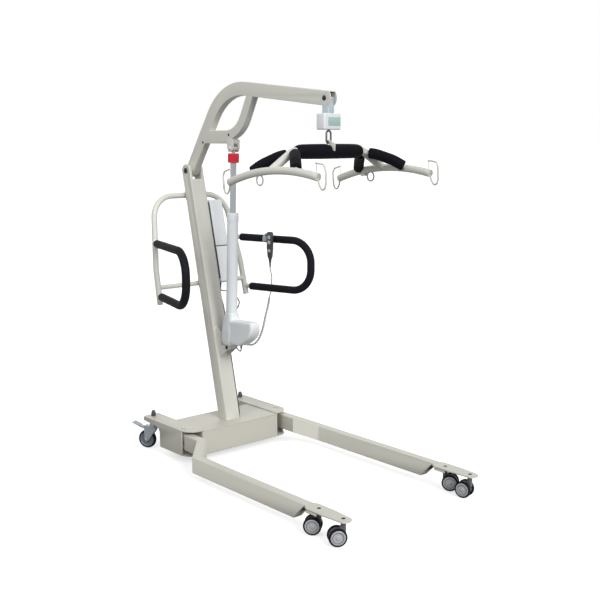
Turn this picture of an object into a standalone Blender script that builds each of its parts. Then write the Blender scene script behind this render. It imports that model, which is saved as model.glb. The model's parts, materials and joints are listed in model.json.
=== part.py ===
# Bariatric patient lift: a wheeled base with two spreading legs, a leaning mast, a boom raised by
# an electric actuator, and a padded four point spreader bar under a weighing scale.
# Construction frame: +X runs forward along the legs, +Y to the lift's left, +Z up, floor at z = 0.
# The root empty moves everything so that the origin lies under the middle of the footprint.

import math

import bmesh
import bpy
from mathutils import Matrix, Vector

GAP = 0.0003            # clearance between pieces that rest on each other
PIVOT_GAP = 0.0003      # radial clearance of a pin in its hole
BITE = 0.002            # depth by which welded shapes run into each other

# Base box and its plates
SHEET = 0.006
BOX_BOTTOM = 0.046
DECK_TOP = 0.175
BOX_REAR_X = -0.190
BASE_FRONT_X = 0.075
BASE_HALF_WIDTH = 0.340
SIDE_BAY_WIDTH = 0.0895
WEB_OUTER_Y = BASE_HALF_WIDTH - SIDE_BAY_WIDTH
SIDE_PANEL_FRONT_X = 0.015
ARM_REAR_X = -0.349
ARM_LIP = 0.016
TOP_CORNER_RADIUS = 0.080
ARM_CORNER_RADIUS = 0.012

# Legs
LEG_PIVOT_INSET = 0.030
LEG_PIVOT = Vector((-0.0145, BASE_HALF_WIDTH - LEG_PIVOT_INSET, 0.0))
LEG_TUBE_WIDTH = 0.050
LEG_TUBE_HEIGHT = 0.080
LEG_TUBE_BOTTOM = 0.037
LEG_TUBE_WALL = 0.003
STUB_BOTTOM = 0.080
STUB_REAR_X = 0.030
JOG_START_X = 0.142
JOG_RUN = 0.099
LEG_END_TOP_X = 1.080
LEG_END_BOTTOM_X = LEG_END_TOP_X - 0.080
SLEEVE_RADIUS = 0.019
PIVOT_BLOCK_WIDTH = 0.026
END_PLATE_TOP = 0.115
END_PLATE_THICKNESS = 0.008
END_PLATE_REAR_X = LEG_END_TOP_X - 0.045
END_PLATE_HALF_WIDTH = 0.040
END_PLATE_TIP_RADIUS = 0.032
END_FLANGE = 0.012
CRANK_LENGTH = 0.100
CRANK_WIDTH = 0.020
CRANK_THICKNESS = 0.010
CRANK_BOTTOM = 0.099
CRANK_PIN_RADIUS = 0.005

# Leg spreading yoke and its actuator
YOKE_BOTTOM = 0.084
YOKE_THICKNESS = 0.010
YOKE_WIDTH = 0.040
YOKE_MARGIN = 0.018
YOKE_SLOT_WIDTH = 0.0125
YOKE_SLOT_REACH = 0.0105
YOKE_BOSS = Vector((0.016, 0.016, 0.014))
YOKE_ROD_RADIUS = 0.010
YOKE_ROD_LENGTH = 0.085
LEG_ACTUATOR_WIDTH = 0.060
LEG_ACTUATOR_FRONT_X = -0.068

# Mast
MAST_LEAN = math.radians(13.0)
MAST_WIDTH = 0.090
MAST_DEPTH = 0.070
MAST_WALL = 0.005
MAST_FOOT_X = -0.0291009
MAST_HEAD_Z = 1.487
MAST_HEAD = Vector((MAST_FOOT_X - (MAST_HEAD_Z - DECK_TOP) * math.tan(MAST_LEAN), 0.0, MAST_HEAD_Z))
HEAD_SLOT = 0.062
HEAD_SLOT_DEPTH = 0.052

# Boom
BOOM_DEPTH = 0.067
BOOM_WIDTH = 0.040
BOOM_WALL = 0.003
BOOM_ARM_ANGLE = math.radians(55.2)
BOOM_REACH_ANGLE = math.radians(-6.1)
BOOM_BEND_RADIUS = 0.300
TIP_PIN = MAST_HEAD + Vector((1.0684, 0.0, 0.351))
TIP_ROUND_RADIUS = 0.043
TIP_NOTCH = 0.064
CROSS_BOTTOM = MAST_HEAD_Z + 0.145
CROSS_HEIGHT = 0.066
CROSS_TOP = CROSS_BOTTOM + CROSS_HEIGHT
BRACE_WIDTH = 0.048
BRACE_BEND_RADIUS = 0.135
BRACE_BEND_X = MAST_HEAD.x + 0.326
BRACE_ANGLE = math.radians(62.0)
BRACE_FOOT_X = MAST_HEAD.x + 0.377
BOSS_RADIUS = 0.024
PIVOT_BOLT_RADIUS = 0.010
PIVOT_BOLT_HEAD = (0.015, 0.005)
TIP_BOLT_RADIUS = 0.008
TIP_BOLT_HEAD = (0.012, 0.004)

# Lift actuator
LOWER_PIN = Vector((-0.005, 0.0, 0.570))
UPPER_PIN = MAST_HEAD + Vector((0.366, 0.0, 0.121))
ACTUATOR_PIN_RADIUS = 0.006
LOWER_PIN_HEAD = (0.010, 0.005)
UPPER_BOLT_HEAD = (0.010, 0.006)
EAR_GAP = 0.034
EAR_THICKNESS = 0.007
EAR_RADIUS = 0.020
EYE_RADIUS = 0.014
EYE_WIDTH = 0.032
HOUSING_HEIGHT = 0.180
HOUSING_START = 0.012
HOUSING_DEPTH = 0.086
HOUSING_WIDTH = 0.082
HOUSING_LUG_WIDTH = 0.046
HOUSING_TOP_DEPTH = 0.062
HOUSING_TOP_WIDTH = 0.058
MOTOR_BOTTOM = 0.026
MOTOR_TOP = 0.166
MOTOR_REACH = 0.206
MOTOR_WIDTH = 0.072
OUTER_TUBE_RADIUS = 0.029
OUTER_TUBE_TOP = 0.710
OUTER_TUBE_CAP = 0.045
ROD_RADIUS = 0.016
ROD_START = 0.300
COLLAR_RADIUS = 0.030
COLLAR_BELOW_PIN = 0.02475
COLLAR_HEIGHT = 0.048
BRACKET_PLATE = 0.006
BRACKET_TOP_Z = 0.680
BRACKET_FOOT_Z = 0.505

# Handle frame behind the mast, laid out in the mast's own leaning frame
FRAME_TUBE_RADIUS = 0.015
FRAME_SETBACK = 0.0296
FRAME_BOTTOM = -0.694
FRAME_TOP = -0.1216
FRAME_FOOT_Y = 0.285
FRAME_MID = (0.279, -0.505)
FRAME_SHOULDER_Y = 0.2284
FRAME_BEND_RADIUS = 0.130
CROSS_TUBE_HEIGHT = -0.603
CROSS_TUBE_HALF_LENGTH = 0.281
CROSS_TUBE_RADIUS = 0.0125
SADDLE_HALF_WIDTH = 0.030
SADDLE_MARGIN = 0.012

# Push handles
HANDLE_SPLAY = math.radians(15.8)
HANDLE_LOW_Z = 0.843
HANDLE_HIGH_Z = 1.115
HANDLE_ROOT_Y = 0.2835
HANDLE_REACH = 0.441
HANDLE_CORNER_RADIUS = 0.118
HANDLE_CORE_RADIUS = 0.0125
GRIP_RADIUS = 0.0205
GRIP_LOW_START = 0.0425
GRIP_HIGH_START = -0.022

# Control box and battery beside the mast, in the mast's frame
BOX_SIDE_Y = 0.0525
BOX_WIDTH = 0.0875
BOX_FRONT = 0.035
BOX_DEPTH = 0.082
BOX_LOW = -0.615
BOX_SPLIT = -0.420
BOX_HIGH = -0.168
RAIL_THICKNESS = 0.006

# Handset
HANDSET_ALONG = 0.199
HANDSET_ASIDE = 0.0345
HANDSET_WIDTH = 0.036
HANDSET_THICKNESS = 0.022
HANDSET_TOP = 1.157
HANDSET_BOTTOM = 1.014
HANDSET_TIP = 0.9625
HANGER_BACK = 0.050
HANGER_RADIUS = 0.0265
HANGER_WIRE = 0.005

# Cords
CORD_RADIUS = 0.0025
CURL_RADIUS = 0.0050
CURL_COUNT = 42
CURL_POINTS = 8
CABLE_RADIUS = 0.003

# Casters
FRONT_CASTER_X = (LEG_END_TOP_X + 0.056, LEG_END_TOP_X + 0.2055)
CASTER_LINE_Y = LEG_PIVOT.y + JOG_RUN - 0.002
FRONT_WHEEL_RADIUS = 0.0400
FRONT_WHEEL_WIDTH = 0.019
FRONT_WHEEL_SPACING = 0.038
FRONT_TRAIL = 0.026
FRONT_AXLE_RADIUS = 0.005
FRONT_STEM_RADIUS = 0.006
REAR_STEM_INSET = 0.0455
REAR_CASTER = Vector((-0.3166, BASE_HALF_WIDTH - REAR_STEM_INSET, 0.0))
REAR_WHEEL_RADIUS = 0.050
REAR_WHEEL_WIDTH = 0.026
REAR_TRAIL = 0.038
REAR_AXLE_RADIUS = 0.006
REAR_STEM_RADIUS = 0.006
FORK_PLATE = 0.003
FORK_TOP = 0.124
PEDAL_REACH = 0.112
STEM_CAP_RADIUS = 0.0125
STEM_CAP_HEIGHT = 0.032

# Scale, hook and spreader bar
CLEVIS_PLATE = 0.004
CLEVIS_GAP = 0.0005
CLEVIS_REAR = 0.018
CLEVIS_FRONT = 0.026
CLEVIS_BASE = 0.008
SCALE_SIZE = Vector((0.056, 0.104, 0.073))
SCALE_CENTRE_X = TIP_PIN.x + 0.0086
SCALE_TOP = MAST_HEAD_Z + 0.283
HOOK_WIRE = 0.0045
HOOK_HALF_WIDTH = 0.0135
HOOK_BOTTOM = SCALE_TOP - 0.1315
TAB_THICKNESS = 0.006
BAR_CENTRE_Z = HOOK_BOTTOM - 0.0385
BAR_TUBE_RADIUS = 0.019
BAR_STRAIGHT_Y = 0.206
ARC_Y = 0.345
ARC_CROWN_Z = BAR_CENTRE_Z - 0.080
ARC_HALF_LENGTH = 0.302
ARC_SAG = 0.040
ARC_TUBE_RADIUS = 0.0175
SPREADER_PITCH = math.radians(3.8)
PAD_RADIUS = 0.035
PAD_HALF_LENGTH = 0.206
BRACE_START_Y = 0.205
BRACE_END_X = 0.165
BRACE_BOW = 0.016
BRACE_CORE_RADIUS = 0.010
BRACE_PAD_RADIUS = 0.0255
SLING_WIRE = 0.0034
RING_RADIUS = 0.022
RING_WIRE = 0.004
RING_X = -0.082

COLOURS = {
    "cream_paint": ((0.80, 0.79, 0.72), 0.42, 0.0),
    "white_plastic": ((0.86, 0.88, 0.89), 0.40, 0.0),
    "grey_plastic": ((0.42, 0.43, 0.46), 0.45, 0.0),
    "dark_plastic": ((0.06, 0.06, 0.07), 0.45, 0.0),
    "black_foam": ((0.02, 0.02, 0.025), 0.80, 0.0),
    "red_plastic": ((0.72, 0.05, 0.09), 0.35, 0.0),
    "bright_steel": ((0.62, 0.63, 0.64), 0.25, 1.0),
    "black_steel": ((0.03, 0.03, 0.03), 0.40, 0.6),
    "tyre_rubber": ((0.03, 0.03, 0.035), 0.60, 0.0),
    "cord_grey": ((0.62, 0.65, 0.67), 0.50, 0.0),
    "display_green": ((0.35, 0.55, 0.45), 0.20, 0.0),
}

for leftover in list(bpy.data.objects):
    bpy.data.objects.remove(leftover, do_unlink=True)

PARTS = bpy.data.collections.new("patient_lift")
CUTTERS = bpy.data.collections.new("cutters")
bpy.context.scene.collection.children.link(PARTS)
bpy.context.scene.collection.children.link(CUTTERS)


def make_material(name):
    """A plain Principled material in one of the lift's finishes."""
    colour, roughness, metallic = COLOURS[name]
    material = bpy.data.materials.new(name)
    material.use_nodes = True
    shader = material.node_tree.nodes["Principled BSDF"]
    shader.inputs["Base Color"].default_value = (*colour, 1.0)
    shader.inputs["Roughness"].default_value = roughness
    shader.inputs["Metallic"].default_value = metallic
    return material


MATERIALS = {name: make_material(name) for name in COLOURS}


# Shape helpers: each returns a loose mesh object in construction coordinates

def loose(mesh):
    shape = bpy.data.objects.new("shape", mesh)
    CUTTERS.objects.link(shape)
    shape.hide_render = True
    shape.display_type = "WIRE"
    return shape


def from_bmesh(form, place=Matrix.Identity(4)):
    bmesh.ops.transform(form, matrix=place, verts=form.verts)
    bmesh.ops.recalc_face_normals(form, faces=form.faces)
    mesh = bpy.data.meshes.new("shape")
    form.to_mesh(mesh)
    form.free()
    return loose(mesh)


def bake(shape):
    """Replaces the object's data by its evaluated, welded mesh."""
    graph = bpy.context.evaluated_depsgraph_get()
    mesh = bpy.data.meshes.new_from_object(shape.evaluated_get(graph))
    form = bmesh.new()
    form.from_mesh(mesh)
    bmesh.ops.remove_doubles(form, verts=form.verts, dist=1e-6)
    bmesh.ops.dissolve_degenerate(form, edges=form.edges, dist=1e-6)
    bmesh.ops.recalc_face_normals(form, faces=form.faces)
    form.to_mesh(mesh)
    form.free()
    place = shape.matrix_world.copy()
    bpy.data.objects.remove(shape)
    mesh.transform(place)
    return loose(mesh)


def block(low, high):
    """A box between two corners."""
    form = bmesh.new()
    bmesh.ops.create_cube(form, size=1.0)
    low, high = Vector(low), Vector(high)
    place = Matrix.Translation((low + high) / 2) @ Matrix.Diagonal((*(high - low), 1.0))
    return from_bmesh(form, place)


def round_bar(start, end, radius, sides=12, end_radius=None):
    """A cylinder, or a cone with a second radius, from one point to another."""
    start, end = Vector(start), Vector(end)
    form = bmesh.new()
    bmesh.ops.create_cone(
        form, cap_ends=True, segments=sides, radius1=radius,
        radius2=radius if end_radius is None else end_radius, depth=(end - start).length)
    turn = Vector((0, 0, 1)).rotation_difference(end - start).to_matrix().to_4x4()
    return from_bmesh(form, Matrix.Translation((start + end) / 2) @ turn)


def turned(profile, place=Matrix.Identity(4), steps=16):
    """A turned solid: the profile runs down the outer side, as (radius, height) pairs."""
    form = bmesh.new()
    points = [form.verts.new((r, 0.0, z)) for r, z in profile]
    for first, second in zip(points, points[1:]):
        form.edges.new((first, second))
    if profile[0][0] > 0:
        form.edges.new((points[-1], points[0]))
    mesh = bpy.data.meshes.new("profile")
    form.to_mesh(mesh)
    form.free()
    shape = loose(mesh)
    screw = shape.modifiers.new("turn", "SCREW")
    screw.steps = screw.render_steps = steps
    screw.use_merge_vertices = True
    screw.merge_threshold = 0.00001
    shape.matrix_world = place
    bpy.context.view_layer.update()
    return bake(shape)


def sheet(outlines, thickness, place):
    """A flat plate: the first outline in local XY, later ones as holes, placed by a matrix."""
    curve = bpy.data.curves.new("outline", "CURVE")
    curve.dimensions = "2D"
    curve.fill_mode = "BOTH"
    curve.extrude = thickness / 2
    for outline in outlines:
        spline = curve.splines.new("POLY")
        spline.points.add(len(outline) - 1)
        for point, (u, v) in zip(spline.points, outline):
            point.co = (u, v, 0.0, 1.0)
        spline.use_cyclic_u = True
    shape = bpy.data.objects.new("outline", curve)
    CUTTERS.objects.link(shape)
    shape.matrix_world = place
    bpy.context.view_layer.update()
    return bake(shape)


def tube(points, radius, resolution=2, closed=False):
    """A round tube along points, with flat ends."""
    curve = bpy.data.curves.new("path", "CURVE")
    curve.dimensions = "3D"
    curve.bevel_depth = radius
    curve.bevel_resolution = resolution
    curve.use_fill_caps = True
    spline = curve.splines.new("POLY")
    spline.points.add(len(points) - 1)
    for point, position in zip(spline.points, points):
        point.co = (*position, 1.0)
    spline.use_cyclic_u = closed
    shape = bpy.data.objects.new("path", curve)
    CUTTERS.objects.link(shape)
    bpy.context.view_layer.update()
    return bake(shape)


def loft(rings):
    """A solid through unlike four-cornered sections, closed by its first and last."""
    form = bmesh.new()
    rows = [[form.verts.new(corner) for corner in ring] for ring in rings]
    for here, there in zip(rows, rows[1:]):
        for i in range(len(here)):
            k = (i + 1) % len(here)
            form.faces.new((here[i], here[k], there[k], there[i]))
    form.faces.new(reversed(rows[0]))
    form.faces.new(rows[-1])
    return from_bmesh(form)


def combine(first, others, operation):
    for other in others:
        change = first.modifiers.new("change", "BOOLEAN")
        change.operation = operation
        change.object = other
    bpy.context.view_layer.update()
    result = bake(first)
    for other in others:
        bpy.data.objects.remove(other)
    return result


def weld(*shapes):
    return combine(shapes[0], shapes[1:], "UNION")


def cut(shape, *cutters):
    return combine(shape, cutters, "DIFFERENCE")


def bevelled(shape, width, segments=2, angle=40.0):
    """Rounds the sharp edges."""
    edge = shape.modifiers.new("edge", "BEVEL")
    edge.width = width
    edge.segments = segments
    edge.limit_method = "ANGLE"
    edge.angle_limit = math.radians(angle)
    bpy.context.view_layer.update()
    return bake(shape)


def moved(shape, place):
    shape.data.transform(place)
    return shape


def pin_along_y(centre, half_length, radius, head=None, sides=12):
    """A plain or two-headed pin across the lift."""
    across = Vector((0, half_length, 0))
    if head is None:
        return round_bar(centre - across, centre + across, radius, sides)
    head_radius, head_height = head
    deep = Vector((0, half_length - head_height, 0))
    heads = [round_bar(centre + s * deep, centre + s * across, head_radius, sides)
             for s in (-1, 1)]
    core = round_bar(centre - across * 0.99, centre + across * 0.99, radius, sides)
    return weld(core, *heads)


def arc(centre, radius, start, end, steps):
    """Points on an arc in a plane, angles in degrees."""
    for i in range(steps + 1):
        angle = math.radians(start + (end - start) * i / steps)
        yield centre[0] + radius * math.cos(angle), centre[1] + radius * math.sin(angle)


def rounded_path(corners, radii, degrees=18.0):
    """A polyline whose inner corners are rounded to the given radii."""
    corners = [Vector(corner) for corner in corners]
    points = [corners[0]]
    for before, corner, after, radius in zip(corners, corners[1:], corners[2:], radii):
        inward, outward = (corner - before).normalized(), (after - corner).normalized()
        turn = inward.angle(outward)
        if radius <= 0 or turn < math.radians(1):
            points.append(corner)
            continue
        reach = radius * math.tan(turn / 2)
        start = corner - inward * reach
        normal = (outward - inward * math.cos(turn)) / math.sin(turn)
        count = max(2, round(math.degrees(turn) / degrees))
        for i in range(count + 1):
            angle = turn * i / count
            points.append(start + inward * radius * math.sin(angle)
                          + normal * radius * (1 - math.cos(angle)))
    points.append(corners[-1])
    return points


UPRIGHT = Matrix.Rotation(math.radians(90), 4, "X")       # local XY becomes the XZ plane


def level(z):
    return Matrix.Translation((0, 0, z))


def beside(y):
    return Matrix.Translation((0, y, 0)) @ UPRIGHT


def mirrored(shape):
    """The same shape on the other side of the centre plane."""
    shape.data.transform(Matrix.Diagonal((1, -1, 1, 1)))
    shape.data.flip_normals()
    return shape


# The tree of empties: the root, then one for each moving group

def empty(name, place, parent=None):
    guide = bpy.data.objects.new(name, None)
    guide.empty_display_size = 0.05
    PARTS.objects.link(guide)
    guide.parent = parent
    anchor = WHERE[parent.name] if parent else Vector((0, 0, 0))
    guide.location = Vector(place) - anchor
    WHERE[name] = Vector(place)
    return guide


WHERE = {}
PEDAL_YAW = math.radians(147.0)
LEG_TIP_X = FRONT_CASTER_X[1] + 0.0385
REAR_MOST_X = REAR_CASTER.x + (PEDAL_REACH + 0.008) * math.cos(PEDAL_YAW)
FOOTPRINT_MIDDLE = Vector(((LEG_TIP_X + REAR_MOST_X) / 2, 0, 0))

ROOT = bpy.data.objects.new("lift_origin", None)
PARTS.objects.link(ROOT)
ROOT.location = -FOOTPRINT_MIDDLE
WHERE["lift_origin"] = Vector((0, 0, 0))


def finish(shape, name, finish_name, parent=ROOT, pivot=None):
    """Names a finished piece, gives it its origin, parent and material."""
    mesh = shape.data
    anchor = WHERE[parent.name]
    pivot = anchor if pivot is None else Vector(pivot)
    mesh.transform(Matrix.Translation(-pivot))
    mesh.name = name
    mesh.materials.clear()
    mesh.materials.append(MATERIALS[finish_name])
    mesh.shade_smooth()
    mesh.set_sharp_from_angle(angle=math.radians(35))
    shape.name = name
    CUTTERS.objects.unlink(shape)
    PARTS.objects.link(shape)
    shape.hide_render = False
    shape.display_type = "TEXTURED"
    shape.parent = parent
    shape.location = pivot - anchor
    return shape


# Base

PLATE_UNDER = DECK_TOP - SHEET
SIDE_TOP = DECK_TOP + SHEET
WEB_INNER_Y = WEB_OUTER_Y - SHEET
PANEL_INNER_Y = BASE_HALF_WIDTH - SHEET
LEG_BOLT_RADIUS = 0.008


def side_wall(inner_y, front_x, bottom):
    """An upright sheet with the tapering lip that stiffens the arm behind it."""
    outline = [
        (BOX_REAR_X, bottom), (front_x, bottom), (front_x, DECK_TOP - GAP),
        (ARM_REAR_X + SHEET, DECK_TOP - GAP), (ARM_REAR_X + SHEET, DECK_TOP - ARM_LIP),
        (BOX_REAR_X - 0.055, DECK_TOP - ARM_LIP - 0.007),
        (BOX_REAR_X - 0.012, DECK_TOP - ARM_LIP - 0.012), (BOX_REAR_X, DECK_TOP - ARM_LIP - 0.032),
    ]
    return sheet([outline], SHEET, beside(inner_y + SHEET / 2))


def floor_outline():
    """Half width floor of the box, rounded at the front corner, mirrored to the other side."""
    y = PANEL_INNER_Y + BITE
    corner = TOP_CORNER_RADIUS - SHEET
    half = [(BOX_REAR_X, y)]
    half += list(arc((BASE_FRONT_X - corner, y - corner), corner, 90, 0, 4))
    return half + [(x, -v) for x, v in reversed(half)]


def build_base():
    floor_top = BOX_BOTTOM + SHEET
    floor = sheet([floor_outline()], SHEET, level(BOX_BOTTOM + SHEET / 2))
    wall_top = PLATE_UNDER - GAP
    front = block((BASE_FRONT_X - SHEET, -WEB_OUTER_Y + BITE, floor_top - BITE),
                  (BASE_FRONT_X, WEB_OUTER_Y - BITE, wall_top))
    rear = block((BOX_REAR_X, -PANEL_INNER_Y - BITE, floor_top - BITE),
                 (BOX_REAR_X + SHEET, PANEL_INNER_Y + BITE, wall_top))
    walls = []
    for side in (1, -1):
        panel = side_wall(PANEL_INNER_Y, SIDE_PANEL_FRONT_X, BOX_BOTTOM + BITE / 2)
        web = side_wall(WEB_INNER_Y, BASE_FRONT_X - BITE, BOX_BOTTOM + BITE / 2)
        walls += [panel, web] if side > 0 else [mirrored(panel), mirrored(web)]
    box = weld(floor, front, rear, *walls)
    cutters = []
    for side in (1, -1):
        pivot = Vector((LEG_PIVOT.x, side * LEG_PIVOT.y, 0))
        cutters.append(round_bar(pivot, pivot + Vector((0, 0, floor_top + SHEET)),
                                 LEG_BOLT_RADIUS + PIVOT_GAP, 12))
        window_y = sorted((side * (WEB_INNER_Y - SHEET), side * (WEB_OUTER_Y + SHEET)))
        cutters.append(block(
            (LEG_PIVOT.x - CRANK_WIDTH - 0.010, window_y[0], CRANK_BOTTOM - 0.006),
            (LEG_PIVOT.x + CRANK_WIDTH + 0.018, window_y[1], CRANK_BOTTOM + CRANK_THICKNESS + 0.006)))
    finish(cut(box, *cutters), "base_box", "cream_paint")

    deck = block((BOX_REAR_X, -WEB_INNER_Y + GAP, PLATE_UNDER),
                 (BASE_FRONT_X, WEB_INNER_Y - GAP, DECK_TOP))
    finish(deck, "deck_plate", "cream_paint")

    for side, word in ((1, "left"), (-1, "right")):
        outline = list(arc((BASE_FRONT_X - TOP_CORNER_RADIUS, BASE_HALF_WIDTH - TOP_CORNER_RADIUS),
                           TOP_CORNER_RADIUS, 0, 90, 6))
        rear_x = ARM_REAR_X + ARM_CORNER_RADIUS
        outline += list(arc((rear_x, BASE_HALF_WIDTH - ARM_CORNER_RADIUS), ARM_CORNER_RADIUS, 90, 180, 3))
        outline += list(arc((rear_x, WEB_INNER_Y + ARM_CORNER_RADIUS), ARM_CORNER_RADIUS, 180, 270, 3))
        outline.append((BASE_FRONT_X, WEB_INNER_Y))
        plate = sheet([outline], SHEET, level(DECK_TOP + SHEET / 2))
        holes = [round_bar((LEG_PIVOT.x, LEG_PIVOT.y, DECK_TOP - SHEET),
                           (LEG_PIVOT.x, LEG_PIVOT.y, SIDE_TOP + SHEET),
                           LEG_BOLT_RADIUS + PIVOT_GAP, 12),
                 round_bar((REAR_CASTER.x, REAR_CASTER.y, DECK_TOP - SHEET),
                           (REAR_CASTER.x, REAR_CASTER.y, SIDE_TOP + SHEET),
                           REAR_STEM_RADIUS + PIVOT_GAP, 12)]
        plate = cut(plate, *holes)
        if side < 0:
            plate = mirrored(plate)
        finish(plate, f"side_plate_{word}", "cream_paint")

        head, nut = 0.011, 0.012
        profile = [(0, SIDE_TOP + 0.006), (head * 0.8, SIDE_TOP + 0.006), (head, SIDE_TOP + 0.004),
                   (head, SIDE_TOP + GAP), (LEG_BOLT_RADIUS, SIDE_TOP + GAP),
                   (LEG_BOLT_RADIUS, BOX_BOTTOM - GAP), (nut, BOX_BOTTOM - GAP),
                   (nut, BOX_BOTTOM - 0.009), (0, BOX_BOTTOM - 0.009)]
        place = Matrix.Translation((LEG_PIVOT.x, side * LEG_PIVOT.y, 0))
        finish(turned(profile, place, 10), f"leg_pivot_bolt_{word}", "bright_steel",
               pivot=(LEG_PIVOT.x, side * LEG_PIVOT.y, 0))


# Legs

LEG_OUTER_Y = LEG_PIVOT.y + LEG_TUBE_WIDTH / 2 + JOG_RUN
LEG_LINE_Y = LEG_OUTER_Y - LEG_TUBE_WIDTH / 2
JOG_INSET = LEG_TUBE_WIDTH * math.tan(math.radians(22.5))


def leg_section(outer, inner, bottom, top, slant=0.0):
    (xo, yo), (xi, yi) = outer, inner
    return [(xo, yo, bottom), (xi, yi, bottom), (xi + slant, yi, top), (xo + slant, yo, top)]


def leg_tube():
    """Stub, downward and outward jog, and the long tube with its slanted front end."""
    outer, inner = LEG_PIVOT.y + LEG_TUBE_WIDTH / 2, LEG_PIVOT.y - LEG_TUBE_WIDTH / 2
    stub_top, tube_top = STUB_BOTTOM + LEG_TUBE_HEIGHT, LEG_TUBE_BOTTOM + LEG_TUBE_HEIGHT
    start, end = JOG_START_X, JOG_START_X + JOG_RUN
    rings = [
        leg_section((STUB_REAR_X, outer), (STUB_REAR_X, inner), STUB_BOTTOM, stub_top),
        leg_section((start, outer), (start + JOG_INSET, inner), STUB_BOTTOM, stub_top),
        leg_section((end, outer + JOG_RUN), (end + JOG_INSET, inner + JOG_RUN),
                    LEG_TUBE_BOTTOM, tube_top),
        leg_section((LEG_END_BOTTOM_X, LEG_OUTER_Y), (LEG_END_BOTTOM_X, LEG_OUTER_Y - LEG_TUBE_WIDTH),
                    LEG_TUBE_BOTTOM, tube_top, LEG_END_TOP_X - LEG_END_BOTTOM_X),
    ]
    hollow = block((end + LEG_TUBE_WIDTH, LEG_OUTER_Y - LEG_TUBE_WIDTH + LEG_TUBE_WALL,
                    LEG_TUBE_BOTTOM + LEG_TUBE_WALL),
                   (LEG_END_TOP_X + LEG_TUBE_WIDTH, LEG_OUTER_Y - LEG_TUBE_WALL,
                    tube_top - LEG_TUBE_WALL))
    return cut(loft(rings), hollow)


def end_plate():
    """The flat plate at the leg's front end, with a flange along each edge and two stem holes."""
    half, tip = END_PLATE_HALF_WIDTH, END_PLATE_TIP_RADIUS
    tip_x = LEG_TIP_X - tip
    side = [(END_PLATE_REAR_X, LEG_TUBE_WIDTH / 2 - BITE),
            (LEG_END_TOP_X - 0.010, LEG_TUBE_WIDTH / 2 - BITE),
            (LEG_END_TOP_X + 0.020, half), (FRONT_CASTER_X[0] + 0.062, half)]
    upper = list(arc((tip_x, 0), tip, 75, -75, 6))
    outline = side + upper + [(x, -y) for x, y in reversed(side)]
    centre = Matrix.Translation((0, LEG_LINE_Y, 0))
    plate = sheet([outline], END_PLATE_THICKNESS, centre @ level(END_PLATE_TOP - END_PLATE_THICKNESS / 2))
    flanges = []
    for sign in (1, -1):
        edge = LEG_LINE_Y + sign * (half - LEG_TUBE_WALL)
        low, high = sorted((edge, edge + sign * (LEG_TUBE_WALL - 0.0005)))
        flanges.append(block(
            (LEG_END_TOP_X + 0.018, low, END_PLATE_TOP - END_PLATE_THICKNESS - END_FLANGE),
            (FRONT_CASTER_X[0] + 0.028, high, END_PLATE_TOP - BITE)))
    return weld(plate, *flanges)


def build_leg(word, parent):
    pivot = LEG_PIVOT
    floor_top = BOX_BOTTOM + SHEET
    sleeve = round_bar((pivot.x, pivot.y, floor_top + GAP), (pivot.x, pivot.y, DECK_TOP - GAP),
                       SLEEVE_RADIUS, 12)
    half = PIVOT_BLOCK_WIDTH / 2
    pivot_block = block((pivot.x, pivot.y - half, STUB_BOTTOM + BITE),
                        (STUB_REAR_X + BITE, pivot.y + half, STUB_BOTTOM + LEG_TUBE_HEIGHT - BITE))
    crank_end = pivot.y - CRANK_LENGTH
    crank = block((pivot.x - CRANK_WIDTH / 2, crank_end - CRANK_WIDTH / 2, CRANK_BOTTOM),
                  (pivot.x + CRANK_WIDTH / 2, pivot.y - SLEEVE_RADIUS + 0.008,
                   CRANK_BOTTOM + CRANK_THICKNESS))
    crank_pin = round_bar((pivot.x, crank_end, YOKE_BOTTOM - 0.003),
                          (pivot.x, crank_end, CRANK_BOTTOM + BITE), CRANK_PIN_RADIUS, 10)
    leg = weld(leg_tube(), pivot_block, sleeve, crank, crank_pin, end_plate())
    holes = [round_bar((pivot.x, pivot.y, 0), (pivot.x, pivot.y, SIDE_TOP + SHEET),
                       LEG_BOLT_RADIUS + PIVOT_GAP, 12)]
    for x in FRONT_CASTER_X:
        holes.append(round_bar((x, CASTER_LINE_Y, END_PLATE_TOP - 0.030),
                               (x, CASTER_LINE_Y, END_PLATE_TOP + 0.010),
                               FRONT_STEM_RADIUS + PIVOT_GAP, 12))
    leg = cut(leg, *holes)
    if word == "right":
        leg = mirrored(leg)
    return finish(leg, f"leg_{word}", "cream_paint", parent)


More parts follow.
